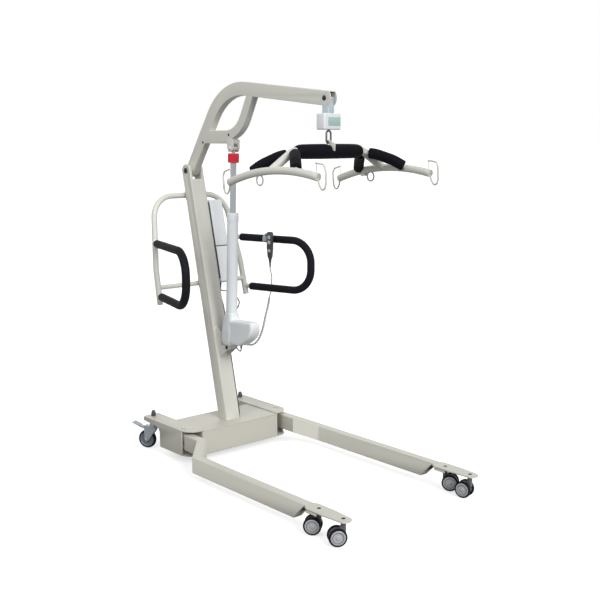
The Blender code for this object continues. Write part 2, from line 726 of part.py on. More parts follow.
def build_leg_drive():
    """The sliding yoke that swings both legs, and the actuator that pushes it."""
    x, z = LEG_PIVOT.x, YOKE_BOTTOM + YOKE_THICKNESS / 2
    pin_y = LEG_PIVOT.y - CRANK_LENGTH
    rear_x = x - YOKE_WIDTH / 2
    bar = block((rear_x, -pin_y - YOKE_MARGIN, YOKE_BOTTOM),
                (x + YOKE_WIDTH / 2, pin_y + YOKE_MARGIN, YOKE_BOTTOM + YOKE_THICKNESS))
    rod_end = rear_x - YOKE_ROD_LENGTH
    boss = block((rear_x - YOKE_BOSS.x * 0.375, -YOKE_BOSS.y, z - YOKE_BOSS.z),
                 (rear_x + YOKE_BOSS.x * 0.625, YOKE_BOSS.y, z + YOKE_BOSS.z))
    push_rod = round_bar((rod_end, 0, z), (x - YOKE_WIDTH / 2, 0, z), YOKE_ROD_RADIUS, 12)
    yoke = weld(bar, boss, push_rod)
    slots = []
    for side in (1, -1):
        slots.append(block((x - YOKE_SLOT_WIDTH / 2, side * pin_y - YOKE_SLOT_REACH, YOKE_BOTTOM - BITE),
                           (x + YOKE_SLOT_WIDTH / 2, side * pin_y + YOKE_SLOT_REACH,
                            YOKE_BOTTOM + YOKE_THICKNESS + BITE)))
    finish(cut(yoke, *slots), "spread_yoke", "bright_steel", YOKE_SLIDE)

    half = LEG_ACTUATOR_WIDTH / 2
    floor_top = BOX_BOTTOM + SHEET
    motor = block((BOX_REAR_X + SHEET + 0.004, -half, floor_top + GAP),
                  (LEG_ACTUATOR_FRONT_X - 0.055, half, z + half))
    barrel = round_bar((LEG_ACTUATOR_FRONT_X - 0.065, 0, z), (LEG_ACTUATOR_FRONT_X, 0, z), 0.021, 16)
    foot = block((LEG_ACTUATOR_FRONT_X - 0.028, -0.014, floor_top + GAP),
                 (LEG_ACTUATOR_FRONT_X - 0.008, 0.014, z - 0.012))
    bore = round_bar((rod_end - 0.020, 0, z), (LEG_ACTUATOR_FRONT_X + 0.020, 0, z),
                     YOKE_ROD_RADIUS + PIVOT_GAP, 12)
    body = cut(weld(bevelled(motor, 0.006, 1), barrel, foot), bore)
    finish(body, "leg_actuator_body", "dark_plastic")


# Casters

def front_wheel():
    """A wheel turned about local Z, centred on it: hub disc, rim step and rounded tread."""
    r, w, bore = FRONT_WHEEL_RADIUS, FRONT_WHEEL_WIDTH / 2, FRONT_AXLE_RADIUS + PIVOT_GAP
    return [(bore, w), (r * 0.90, w), (r, w * 0.45), (r, -w * 0.45), (r * 0.90, -w), (bore, -w)]


def rear_wheel():
    r, w, bore = REAR_WHEEL_RADIUS, REAR_WHEEL_WIDTH / 2, REAR_AXLE_RADIUS + PIVOT_GAP
    hub = 0.015
    return [(bore, w), (hub, w), (hub + 0.004, w - 0.007), (r * 0.76, w - 0.007), (r * 0.82, w),
            (r, w * 0.4), (r, -w * 0.4), (r * 0.82, -w), (r * 0.76, -w + 0.007),
            (hub + 0.004, -w + 0.007), (hub, -w), (bore, -w)]


def caster_frame(stem, yaw):
    """Local X points along the trail, local Y along the axle, origin on the floor at the stem."""
    return Matrix.Translation(stem) @ Matrix.Rotation(yaw, 4, "Z")


AXLE_TURN = Matrix.Rotation(math.radians(-90), 4, "X")     # turns local Z onto local Y


def build_front_caster(word, stem, yaw, leg_empty):
    swivel = empty(f"{word}_swivel", stem, leg_empty)
    place = caster_frame(stem, yaw)
    radius, trail = FRONT_WHEEL_RADIUS, FRONT_TRAIL
    plate_under = END_PLATE_TOP - END_PLATE_THICKNESS
    body_half = (FRONT_WHEEL_SPACING - FRONT_WHEEL_WIDTH) / 2 - 0.0015
    stem_bar = round_bar((0, 0, plate_under - 0.004), (0, 0, END_PLATE_TOP - 0.002), FRONT_STEM_RADIUS, 8)
    neck = round_bar((0, 0, radius * 2 + 0.0015), (0, 0, plate_under - GAP), 0.012, 8)
    hull = [(-0.010, radius * 1.40), (-0.010, radius * 2 + 0.004), (0.010, radius * 2 + 0.006)]
    hull += list(arc((trail, radius), radius * 0.90, 105, -10, 4))
    hull += list(arc((trail, radius), 0.011, -40, -150, 3))
    web = sheet([hull], body_half * 2, beside(0))
    axle_half = (FRONT_WHEEL_SPACING + FRONT_WHEEL_WIDTH) / 2 - 0.002
    axle = pin_along_y(Vector((trail, 0, radius)), axle_half, FRONT_AXLE_RADIUS, sides=8)
    fork = weld(web, neck, stem_bar, axle)
    finish(moved(fork, place), f"{word}_fork", "grey_plastic", swivel)
    for letter, sign in (("a", 1), ("b", -1)):
        centre = place @ Vector((trail, sign * FRONT_WHEEL_SPACING / 2, radius))
        roll = empty(f"{word}_roll_{letter}", centre, swivel)
        turn = AXLE_TURN if sign > 0 else AXLE_TURN @ Matrix.Rotation(math.pi, 4, "X")
        spot = place @ Matrix.Translation((trail, sign * FRONT_WHEEL_SPACING / 2, radius)) @ turn
        finish(turned(front_wheel(), spot, 16), f"{word}_wheel_{letter}", "tyre_rubber", roll)


def build_rear_caster(word, side):
    stem = Vector((REAR_CASTER.x, side * REAR_CASTER.y, 0))
    yaw = side * PEDAL_YAW
    swivel = empty(f"rear_{word}_swivel", stem, ROOT)
    place = caster_frame(stem, yaw)
    radius, trail = REAR_WHEEL_RADIUS, REAR_TRAIL
    inner = REAR_WHEEL_WIDTH / 2 + 0.0015
    crown = block((-0.018, -inner - FORK_PLATE, FORK_TOP - FORK_PLATE),
                  (trail + 0.014, inner + FORK_PLATE, FORK_TOP))
    race = round_bar((0, 0, FORK_TOP - 0.001), (0, 0, DECK_TOP - GAP), 0.021, 12)
    cheeks = []
    for sign in (1, -1):
        outline = [(-0.018, FORK_TOP), (-0.014, FORK_TOP - 0.022), (trail - 0.012, radius - 0.004)]
        outline += list(arc((trail, radius), 0.0125, 205, 335, 2))
        outline += [(trail + 0.012, radius + 0.020), (trail + 0.014, FORK_TOP)]
        cheeks.append(sheet([outline], FORK_PLATE, beside(sign * (inner + FORK_PLATE / 2))))
    axle = pin_along_y(Vector((trail, 0, radius)), inner + FORK_PLATE + 0.005, REAR_AXLE_RADIUS,
                       (0.009, 0.004 + BITE / 2), 6)
    fork = weld(crown, race, *cheeks, axle)
    bore = round_bar((0, 0, FORK_TOP - 0.020), (0, 0, DECK_TOP + 0.010), REAR_STEM_RADIUS + PIVOT_GAP, 12)
    pedal_pin = Vector((trail + 0.008, 0, FORK_TOP - 0.010))
    pin_hole = pin_along_y(pedal_pin, inner + 0.020, 0.003 + PIVOT_GAP, sides=8)
    finish(moved(cut(fork, bore, pin_hole), place), f"rear_{word}_fork", "bright_steel", swivel)

    roll = empty(f"rear_{word}_roll", place @ Vector((trail, 0, radius)), swivel)
    spot = place @ Matrix.Translation((trail, 0, radius)) @ AXLE_TURN
    finish(turned(rear_wheel(), spot, 16), f"rear_{word}_wheel", "tyre_rubber", roll)

    hinge = empty(f"rear_{word}_pedal_hinge", place @ pedal_pin, swivel)
    width = inner - 0.0008
    arm = sheet([[(pedal_pin.x - 0.008, FORK_TOP - 0.006), (pedal_pin.x - 0.008, FORK_TOP - 0.0145),
                  (pedal_pin.x + 0.010, FORK_TOP - 0.0150), (PEDAL_REACH - 0.032, FORK_TOP - 0.008),
                  (PEDAL_REACH - 0.024, FORK_TOP + 0.002), (PEDAL_REACH - 0.026, FORK_TOP + 0.006),
                  (PEDAL_REACH - 0.040, FORK_TOP - 0.002), (trail + 0.018, FORK_TOP - 0.006)]],
                width * 2, beside(0))
    pad_turn = Matrix.Translation((PEDAL_REACH - 0.012, 0, FORK_TOP + 0.008)) @ Matrix.Rotation(
        math.radians(-22), 4, "Y")
    pad = moved(block((-0.020, -0.021, -0.002), (0.020, 0.021, 0.002)), pad_turn)
    hinge_pin = pin_along_y(pedal_pin, inner + FORK_PLATE + 0.001, 0.003, sides=8)
    pedal = weld(arm, pad, hinge_pin)
    finish(moved(pedal, place), f"rear_{word}_brake_pedal", "bright_steel", hinge)

    top = SIDE_TOP + GAP
    cap_profile = [(0, top + STEM_CAP_HEIGHT)]
    cap_profile += [(STEM_CAP_RADIUS * math.sin(math.radians(a)),
                     top + 0.012 + (STEM_CAP_HEIGHT - 0.012) * math.cos(math.radians(a)))
                    for a in (35, 65, 90)]
    cap_profile += [(STEM_CAP_RADIUS * 0.92, top), (REAR_STEM_RADIUS, top),
                    (REAR_STEM_RADIUS, FORK_TOP - 0.001), (0, FORK_TOP - 0.001)]
    finish(turned(cap_profile, Matrix.Translation(stem), 12), f"rear_{word}_stem_cap", "dark_plastic",
           pivot=stem)


# Mast, with the actuator bracket welded to its front

MAST_LEAN_TURN = Matrix.Rotation(-MAST_LEAN, 4, "Y")
MAST_PLACE = Matrix.Translation(MAST_HEAD) @ MAST_LEAN_TURN
MAST_LENGTH = (MAST_HEAD.z - DECK_TOP) / math.cos(MAST_LEAN)


def mast_front_x(z):
    """Forward distance of the mast's front face at a height."""
    return (MAST_HEAD.x + (MAST_HEAD.z - z) * math.tan(MAST_LEAN)
            + MAST_DEPTH / 2 / math.cos(MAST_LEAN))


def build_mast():
    half = MAST_DEPTH / 2
    foot = -MAST_LENGTH - MAST_DEPTH
    outline = [(-half, foot), (half, foot)] + list(arc((0, 0), half, 0, 180, 7))
    column = moved(sheet([outline], MAST_WIDTH, UPRIGHT), MAST_PLACE)
    wall_top = -HEAD_SLOT_DEPTH
    inside = MAST_WIDTH / 2 - MAST_WALL
    slot = HEAD_SLOT / 2
    cavity = block((-half + MAST_WALL, -inside, foot - BITE), (half - MAST_WALL, inside, wall_top - 0.060))
    throat = block((-half + MAST_WALL, -slot, wall_top - 0.065), (half - MAST_WALL, slot, wall_top + 0.005))
    mouth = block((-half - 0.01, -slot, wall_top), (half + 0.01, slot, half + 0.01))
    floor_cut = block((-0.5, -0.1, -0.5), (0.5, 0.1, DECK_TOP + GAP))
    holes = [moved(shape, MAST_PLACE) for shape in (cavity, throat, mouth)]
    bolt_hole = pin_along_y(MAST_HEAD, MAST_WIDTH, PIVOT_BOLT_RADIUS + PIVOT_GAP)
    column = cut(column, *holes, floor_cut, bolt_hole)

    pin = LOWER_PIN
    inner_y = HOUSING_LUG_WIDTH / 2 + 0.0005
    root_top = (mast_front_x(BRACKET_TOP_Z) - BITE, BRACKET_TOP_Z)
    root_foot = (mast_front_x(BRACKET_FOOT_Z) - BITE, BRACKET_FOOT_Z)
    cheek = [root_top, root_foot, (pin.x - 0.020, pin.z - 0.032)]
    cheek += list(arc((pin.x, pin.z), 0.016, -90, 34, 5))
    behind_housing = pin.x - HOUSING_DEPTH / 2 - 0.004
    cheek += [(behind_housing, pin.z + HOUSING_START - 0.003), (behind_housing, pin.z + 0.070)]
    plates = [sheet([cheek], BRACKET_PLATE, beside(sign * (inner_y + BRACKET_PLATE / 2)))
              for sign in (1, -1)]
    bracket = [cut(plate, pin_along_y(pin, 0.06, ACTUATOR_PIN_RADIUS + PIVOT_GAP)) for plate in plates]
    mast = weld(column, *bracket)
    finish(mast, "mast", "cream_paint", pivot=MAST_HEAD)

    finish(pin_along_y(MAST_HEAD, MAST_WIDTH / 2 + GAP + PIVOT_BOLT_HEAD[1], PIVOT_BOLT_RADIUS,
                       PIVOT_BOLT_HEAD),
           "boom_pivot_bolt", "black_steel", pivot=MAST_HEAD)
    reach = inner_y + BRACKET_PLATE + GAP + LOWER_PIN_HEAD[1]
    finish(pin_along_y(pin, reach, ACTUATOR_PIN_RADIUS, LOWER_PIN_HEAD),
           "actuator_lower_pin", "black_steel", pivot=pin)


# Boom

def along(angle):
    return Vector((math.cos(angle), math.sin(angle)))


def boom_outline():
    """Side view of the boom: lower arm, bend, reach, brace, cross piece, and the loop as a hole."""
    half = BOOM_DEPTH / 2
    pivot, tip = Vector((MAST_HEAD.x, MAST_HEAD.z)), Vector((TIP_PIN.x, TIP_PIN.z))
    arm, reach = along(BOOM_ARM_ANGLE), along(BOOM_REACH_ANGLE)
    arm_left, reach_left = along(BOOM_ARM_ANGLE + math.pi / 2), along(BOOM_REACH_ANGLE + math.pi / 2)
    # the two centrelines meet at the corner
    gap = tip - pivot
    cross = arm.x * reach.y - arm.y * reach.x
    corner = pivot + arm * ((gap.x * reach.y - gap.y * reach.x) / cross)
    turn = BOOM_ARM_ANGLE - BOOM_REACH_ANGLE
    tangent = BOOM_BEND_RADIUS * math.tan(turn / 2)
    bend_start = corner - arm * tangent
    bend_centre = bend_start - arm_left * BOOM_BEND_RADIUS
    start_deg = math.degrees(BOOM_ARM_ANGLE) + 90
    end_deg = math.degrees(BOOM_REACH_ANGLE) + 90

    def on_arm_front(z):
        base = pivot - arm_left * half
        return (base.x + (z - base.y) / math.tan(BOOM_ARM_ANGLE), z)

    def on_reach_under(x):
        base = tip - reach_left * half
        return (x, base.y + (x - base.x) * math.tan(BOOM_REACH_ANGLE))

    bend_z = CROSS_TOP + BRACE_BEND_RADIUS
    top_deg = math.degrees(BRACE_ANGLE)
    outer_radius = BRACE_BEND_RADIUS + BRACE_WIDTH
    inner_end = Vector(list(arc((BRACE_BEND_X, bend_z), BRACE_BEND_RADIUS, top_deg - 90, top_deg - 90, 1))[0])
    outer_end = Vector(list(arc((BRACE_BEND_X, bend_z), outer_radius, top_deg - 90, top_deg - 90, 1))[0])
    brace = along(BRACE_ANGLE)

    def up_to_reach(point):
        under = Vector(on_reach_under(point.x))
        rise = (under.y - point.y) / (brace.y - brace.x * math.tan(BOOM_REACH_ANGLE))
        return point + brace * rise

    outline = list(arc(pivot, half, math.degrees(BOOM_ARM_ANGLE) + 90, math.degrees(BOOM_ARM_ANGLE) + 270, 8))
    outline.append(on_arm_front(CROSS_BOTTOM))
    outline.append((BRACE_FOOT_X, CROSS_BOTTOM))
    foot_angle = -math.degrees(math.acos((BRACE_FOOT_X - BRACE_BEND_X) / outer_radius))
    outline += list(arc((BRACE_BEND_X, bend_z), outer_radius, foot_angle, top_deg - 90, 5))
    outline.append(tuple(up_to_reach(outer_end)))
    swing = math.degrees(math.asin(half / TIP_ROUND_RADIUS))
    tilt = math.degrees(BOOM_REACH_ANGLE)
    outline += list(arc(tip, TIP_ROUND_RADIUS, tilt - swing, tilt + swing, 6))
    outline += list(arc(bend_centre, BOOM_BEND_RADIUS + half, end_deg, start_deg, 10))

    loop = list(arc((BRACE_BEND_X, bend_z), BRACE_BEND_RADIUS, -90, top_deg - 90, 6))
    loop.append(tuple(up_to_reach(inner_end)))
    loop += list(arc(bend_centre, BOOM_BEND_RADIUS - half, end_deg, start_deg, 8))
    loop.append(on_arm_front(CROSS_TOP))
    return outline, loop, reach, tip


def build_boom():
    outline, loop, reach, tip = boom_outline()
    body = sheet([outline, loop], BOOM_WIDTH, UPRIGHT)
    # the reach is a box section, open at the tip, where its under wall is cut back for the clevis
    inner = BOOM_DEPTH / 2 - BOOM_WALL
    length = 0.42
    turn = Matrix.Translation((tip.x, 0, tip.y)) @ Matrix.Rotation(-BOOM_REACH_ANGLE, 4, "Y")
    hollow = moved(block((-length, -BOOM_WIDTH / 2 + BOOM_WALL, -inner),
                         (TIP_ROUND_RADIUS * 1.5, BOOM_WIDTH / 2 - BOOM_WALL, inner)), turn)
    notch = moved(block((-TIP_NOTCH, -BOOM_WIDTH / 2 + BOOM_WALL, -BOOM_DEPTH),
                        (TIP_ROUND_RADIUS * 1.5, BOOM_WIDTH / 2 - BOOM_WALL, -BOOM_WALL)), turn)
    body = cut(body, hollow, notch)
    boss = pin_along_y(MAST_HEAD, HEAD_SLOT / 2 - 0.0005, BOSS_RADIUS)
    ear_centre = EAR_GAP / 2 + EAR_THICKNESS / 2
    ears, bolts = [], []
    for sign in (1, -1):
        outline = [(UPPER_PIN.x - 0.026, CROSS_BOTTOM + 0.020), (UPPER_PIN.x - EAR_RADIUS, UPPER_PIN.z)]
        outline += list(arc((UPPER_PIN.x, UPPER_PIN.z), EAR_RADIUS, 180, 360, 5))
        outline += [(UPPER_PIN.x + 0.022, CROSS_BOTTOM + 0.020)]
        ears.append(sheet([outline], EAR_THICKNESS, beside(sign * ear_centre)))
        face = sign * (EAR_GAP / 2 + EAR_THICKNESS)
        bolts.append(round_bar((UPPER_PIN.x, face - sign * BITE, UPPER_PIN.z),
                               (UPPER_PIN.x, face + sign * UPPER_BOLT_HEAD[1], UPPER_PIN.z),
                               UPPER_BOLT_HEAD[0], 6))
    boom = weld(body, boss, *ears, *bolts)
    holes = [pin_along_y(MAST_HEAD, MAST_WIDTH, PIVOT_BOLT_RADIUS + PIVOT_GAP, sides=16),
             pin_along_y(TIP_PIN, MAST_WIDTH, TIP_BOLT_RADIUS + PIVOT_GAP, sides=16)]
    finish(cut(boom, *holes), "boom", "cream_paint", BOOM_AXIS)


# Lift actuator, laid out along its own axis from the lower pin

ACTUATOR_LINE = (UPPER_PIN - LOWER_PIN)
ACTUATOR_LENGTH = ACTUATOR_LINE.length
ACTUATOR_PLACE = (Matrix.Translation(LOWER_PIN)
                  @ Matrix.Rotation(math.atan2(ACTUATOR_LINE.x, ACTUATOR_LINE.z), 4, "Y"))
COLLAR_BOTTOM = ACTUATOR_LENGTH - COLLAR_BELOW_PIN - COLLAR_HEIGHT


def tapered_housing():
    low, high = HOUSING_START, HOUSING_START + HOUSING_HEIGHT

    def ring(z, depth, width):
        return [(-depth / 2, -width / 2, z), (depth / 2, -width / 2, z),
                (depth / 2, width / 2, z), (-depth / 2, width / 2, z)]

    waist = low + HOUSING_HEIGHT * 0.45
    return loft([ring(low, HOUSING_DEPTH * 0.92, HOUSING_WIDTH * 0.92),
                 ring(low + 0.022, HOUSING_DEPTH, HOUSING_WIDTH), ring(waist, HOUSING_DEPTH, HOUSING_WIDTH),
                 ring(high, HOUSING_TOP_DEPTH, HOUSING_TOP_WIDTH)])


def build_actuator():
    along_axis = ACTUATOR_PLACE
    housing = bevelled(tapered_housing(), 0.008, 1)
    top = HOUSING_START + HOUSING_HEIGHT
    # the nose rises towards its end, along its underside most
    motor = [(0.0, MOTOR_BOTTOM), (MOTOR_REACH * 0.52, MOTOR_BOTTOM),
             (MOTOR_REACH * 0.66, MOTOR_BOTTOM + 0.018), (MOTOR_REACH * 0.84, MOTOR_BOTTOM + 0.044),
             (MOTOR_REACH * 0.95, MOTOR_BOTTOM + 0.068), (MOTOR_REACH, MOTOR_BOTTOM + 0.092),
             (MOTOR_REACH, MOTOR_TOP - 0.022), (MOTOR_REACH * 0.97, MOTOR_TOP - 0.008),
             (MOTOR_REACH * 0.91, MOTOR_TOP), (0.0, MOTOR_TOP - 0.018)]
    motor_half = MOTOR_WIDTH / 2
    nacelle = bevelled(sheet([motor], MOTOR_WIDTH - 0.004, UPRIGHT), 0.008, 1)
    lug = pin_along_y(Vector((0, 0, 0)), HOUSING_LUG_WIDTH / 2, 0.013, sides=14)
    neck = block((-0.013, -HOUSING_LUG_WIDTH / 2, 0.0), (0.013, HOUSING_LUG_WIDTH / 2, HOUSING_START + 0.004))
    shell = weld(housing, nacelle, lug, neck)
    seat = HOUSING_START + 0.055
    bores = [pin_along_y(Vector((0, 0, 0)), motor_half, ACTUATOR_PIN_RADIUS + PIVOT_GAP),
             round_bar((0, 0, seat), (0, 0, top + 0.05), OUTER_TUBE_RADIUS - 0.004 + GAP, 16)]
    shell = moved(cut(shell, *bores), along_axis)
    finish(shell, "motor_housing", "white_plastic", ACTUATOR_TILT)

    bore = ROD_RADIUS + PIVOT_GAP
    inner = OUTER_TUBE_RADIUS - 0.004
    profile = [(bore, OUTER_TUBE_TOP), (OUTER_TUBE_RADIUS, OUTER_TUBE_TOP),
               (OUTER_TUBE_RADIUS + 0.0015, OUTER_TUBE_TOP - 0.003),
               (OUTER_TUBE_RADIUS + 0.0015, OUTER_TUBE_TOP - OUTER_TUBE_CAP),
               (OUTER_TUBE_RADIUS, OUTER_TUBE_TOP - OUTER_TUBE_CAP - 0.001),
               (OUTER_TUBE_RADIUS, top + GAP), (inner, top + GAP), (inner, seat + GAP),
               (bore, seat + GAP)]
    finish(turned(profile, along_axis, 16), "actuator_tube", "white_plastic", ACTUATOR_TILT)

    eye = pin_along_y(Vector((0, 0, ACTUATOR_LENGTH)), EYE_WIDTH / 2, EYE_RADIUS, sides=14)
    shaft = round_bar((0, 0, ROD_START), (0, 0, COLLAR_BOTTOM - GAP), ROD_RADIUS, 16)
    spindle = round_bar((0, 0, COLLAR_BOTTOM - 0.015), (0, 0, ACTUATOR_LENGTH - 0.006), 0.010, 12)
    rod = weld(shaft, spindle, eye)
    finish(moved(rod, along_axis), "actuator_rod", "bright_steel", ROD_SLIDE)

    low, high = COLLAR_BOTTOM, COLLAR_BOTTOM + COLLAR_HEIGHT
    profile = [(0.010 + PIVOT_GAP, high), (COLLAR_RADIUS - 0.003, high), (COLLAR_RADIUS, high - 0.003),
               (COLLAR_RADIUS, low + 0.003), (COLLAR_RADIUS - 0.003, low), (0.010 + PIVOT_GAP, low)]
    finish(turned(profile, along_axis, 16), "release_collar", "red_plastic", COLLAR_SLIDE)


# Handle frame and push handles

def mast_point(depth, y, height):
    """A point given in the mast's leaning frame."""
    return MAST_PLACE @ Vector((depth, y, height))


FRAME_DEPTH = -MAST_DEPTH / 2 - FRAME_SETBACK


def frame_height(z):
    """Height in the mast's frame of the handle frame's plane at a world height."""
    return (z - MAST_HEAD.z - FRAME_DEPTH * math.sin(MAST_LEAN)) / math.cos(MAST_LEAN)


def handle_origin(side):
    """Where the lower handle arm leaves the frame, and its horizontal direction."""
    height = frame_height(HANDLE_LOW_Z)
    start = mast_point(FRAME_DEPTH, side * HANDLE_ROOT_Y, height)
    direction = Vector((math.cos(HANDLE_SPLAY), side * math.sin(HANDLE_SPLAY), 0))
    return start, direction


def handle_path(side, low_start=None, high_start=None, step=30):
    """The D of a push handle; the two starts are distances ahead of the lower root."""
    start, direction = handle_origin(side)
    up = Vector((0, 0, HANDLE_HIGH_Z - HANDLE_LOW_Z))
    high_root = (mast_point(FRAME_DEPTH, 0, frame_height(HANDLE_HIGH_Z)).x - start.x) / direction.x
    low = start + direction * (0.0 if low_start is None else low_start)
    high = start + up + direction * (high_root if high_start is None else high_start)
    far = start + direction * HANDLE_REACH
    return rounded_path([low, far, far + up, high], [HANDLE_CORNER_RADIUS] * 2, step)


def build_handles():
    corners = []
    for side in (1, -1):
        half = [(side * FRAME_FOOT_Y, FRAME_BOTTOM), (side * FRAME_MID[0], FRAME_MID[1]),
                (side * FRAME_SHOULDER_Y, FRAME_TOP)]
        corners += half if side > 0 else reversed(half)
    path = rounded_path([mast_point(FRAME_DEPTH, y, z) for y, z in corners],
                        [0, FRAME_BEND_RADIUS, FRAME_BEND_RADIUS, 0], 20)
    hoop = tube(path, FRAME_TUBE_RADIUS, 2)
    cross = tube([mast_point(FRAME_DEPTH, s * CROSS_TUBE_HALF_LENGTH, CROSS_TUBE_HEIGHT) for s in (-1, 1)],
                 CROSS_TUBE_RADIUS, 2)
    saddles = []
    for height, radius in ((FRAME_TOP, FRAME_TUBE_RADIUS), (CROSS_TUBE_HEIGHT, CROSS_TUBE_RADIUS)):
        low = (FRAME_DEPTH + 0.004, -SADDLE_HALF_WIDTH, height - radius - SADDLE_MARGIN)
        high = (-MAST_DEPTH / 2 - GAP, SADDLE_HALF_WIDTH, height + radius + SADDLE_MARGIN)
        saddles.append(moved(block(low, high), MAST_PLACE))
    cores = [tube(handle_path(side), HANDLE_CORE_RADIUS, 1) for side in (1, -1)]
    finish(weld(hoop, cross, *saddles, *cores), "handle_frame", "cream_paint")

    for side, word in ((1, "left"), (-1, "right")):
        grip = tube(handle_path(side, GRIP_LOW_START, GRIP_HIGH_START, 20), GRIP_RADIUS, 2)
        bore = tube(handle_path(side, GRIP_LOW_START - 0.05, GRIP_HIGH_START - 0.05),
                    HANDLE_CORE_RADIUS + 0.0004, 1)
        finish(cut(grip, bore), f"grip_{word}", "black_foam")


# Control box, battery and handset

def build_control_box():
    outer = BOX_SIDE_Y + BOX_WIDTH
    rail = block((-0.030, MAST_WIDTH / 2 + GAP, BOX_LOW + 0.020),
                 (0.028, BOX_SIDE_Y + BITE, BOX_SPLIT - 0.0))
    upper_rail = block((-0.030, MAST_WIDTH / 2 + GAP, BOX_SPLIT - 0.010),
                       (0.028, BOX_SIDE_Y - GAP, BOX_HIGH - 0.015))
    case = bevelled(block((BOX_FRONT - BOX_DEPTH, BOX_SIDE_Y, BOX_LOW), (BOX_FRONT, outer, BOX_SPLIT)),
                    0.006)
    box = weld(case, rail, upper_rail)
    finish(moved(box, MAST_PLACE), "control_box", "white_plastic")
    pack = bevelled(block((BOX_FRONT - BOX_DEPTH, BOX_SIDE_Y, BOX_SPLIT + GAP),
                          (BOX_FRONT, outer, BOX_HIGH)), 0.006)
    finish(moved(pack, MAST_PLACE), "battery_pack", "white_plastic")


def handset_frame():
    """Local X back along the handle's upper arm, local Y away from it to the inside, Z up."""
    start, direction = handle_origin(1)
    inside = Vector((direction.y, -direction.x, 0))
    centre = start + direction * HANDSET_ALONG + inside * HANDSET_ASIDE
    turn = Matrix((-direction, inside, Vector((0, 0, 1)))).transposed().to_4x4()
    return Matrix.Translation((centre.x, centre.y, 0)) @ turn


ROCKER_SIZE = (0.018, 0.0045, 0.020)
ROCKER_HEIGHTS = (1.128, 1.100)
ROCKER_SINK = 0.0030


def build_handset():
    place = handset_frame()
    half_w, half_t = HANDSET_WIDTH / 2, HANDSET_THICKNESS / 2

    def ring(z, w, t):
        return [(-w, -t, z), (w, -t, z), (w, t, z), (-w, t, z)]

    body = loft([ring(HANDSET_BOTTOM, half_w * 0.62, half_t * 0.85),
                 ring(HANDSET_BOTTOM + 0.050, half_w * 0.92, half_t),
                 ring(HANDSET_TOP - 0.030, half_w, half_t), ring(HANDSET_TOP, half_w * 0.80, half_t * 0.7)])
    body = bevelled(body, 0.004, 1)
    gland = turned([(0, HANDSET_BOTTOM + 0.004), (0.0095, HANDSET_BOTTOM + 0.004), (0.009, HANDSET_BOTTOM - 0.014),
                    (CORD_RADIUS + 0.0012, HANDSET_TIP), (0, HANDSET_TIP)], steps=10)
    hook_y, hook_x = -HANDSET_ASIDE, HANGER_BACK
    hook_z = HANDLE_HIGH_Z + GRIP_RADIUS + GAP + HANGER_WIRE - HANGER_RADIUS
    turn = [(hook_x, hook_y + y, hook_z + z) for y, z in arc((0, 0), HANGER_RADIUS, -30, 212, 11)]
    hanger = tube(turn, HANGER_WIRE, 1)
    arm_y = hook_y + HANGER_RADIUS
    strap = block((half_w - 0.006, arm_y - 0.004, HANDLE_HIGH_Z - 0.012),
                  (hook_x + 0.003, arm_y + 0.003, HANDLE_HIGH_Z + 0.016))
    shell = weld(body, gland, hanger, strap)
    pockets = []
    for z in ROCKER_HEIGHTS:
        w, t, h = ROCKER_SIZE
        pockets.append(block((-w / 2 - 0.0006, half_t - ROCKER_SINK - 0.002, z - h / 2 - 0.0006),
                             (w / 2 + 0.0006, half_t + 0.01, z + h / 2 + 0.0006)))
    shell = cut(shell, *pockets)
    finish(moved(shell, place), "handset_body", "dark_plastic")
    for name, z in zip(("handset_boom_rocker", "handset_leg_rocker"), ROCKER_HEIGHTS):
        w, t, h = ROCKER_SIZE
        key = block((-w / 2, half_t - ROCKER_SINK, z - h / 2), (w / 2, half_t - ROCKER_SINK + t, z + h / 2))
        hinge = empty(f"{name}_hinge", place @ Vector((0, half_t - ROCKER_SINK, z)), ROOT)
        finish(moved(bevelled(key, 0.001, 1), place), name, "grey_plastic", hinge)


# Cords

HANDSET_CORD = (
    (-0.0520, 0.3180, 0.9180), (-0.0760, 0.3380, 0.8870), (-0.0980, 0.3540, 0.8600),
    (-0.1060, 0.3590, 0.8350), (-0.1080, 0.3560, 0.8120), (-0.1080, 0.3470, 0.7900),
    (-0.1050, 0.3350, 0.7410), (-0.0960, 0.3100, 0.6870), (-0.0830, 0.2740, 0.6080),
    (-0.0850, 0.2390, 0.5520), (-0.0980, 0.2050, 0.5350), (-0.1150, 0.1750, 0.5480),
    (-0.1350, 0.1550, 0.5900), (-0.1520, 0.1450, 0.6500), (-0.1650, 0.1380, 0.7200),
    (-0.1780, 0.1320, 0.7900),
)
STRAIGHT_POINTS = 6     # of the points above, those before the curls
ACTUATOR_CABLE = (
    (-0.1800, 0.0700, 0.8450), (-0.1350, 0.0620, 0.8480), (-0.1000, 0.0560, 0.8520),
    (-0.0590, 0.0500, 0.8450), (-0.0180, 0.0470, 0.8320), (0.0080, 0.0470, 0.8060),
    (-0.0080, 0.0480, 0.7760), (-0.0450, 0.0520, 0.7400), (-0.0700, 0.0550, 0.6900),
    (-0.0780, 0.0560, 0.6300), (-0.0560, 0.0520, 0.5780), (-0.0100, 0.0460, 0.5500),
    (0.0350, 0.0280, 0.5480), (0.0640, 0.0100, 0.5600),
)
LEG_CABLE = (
    (-0.2080, 0.0850, 0.8420), (-0.1800, 0.0640, 0.8320), (-0.1560, 0.0520, 0.8050),
)


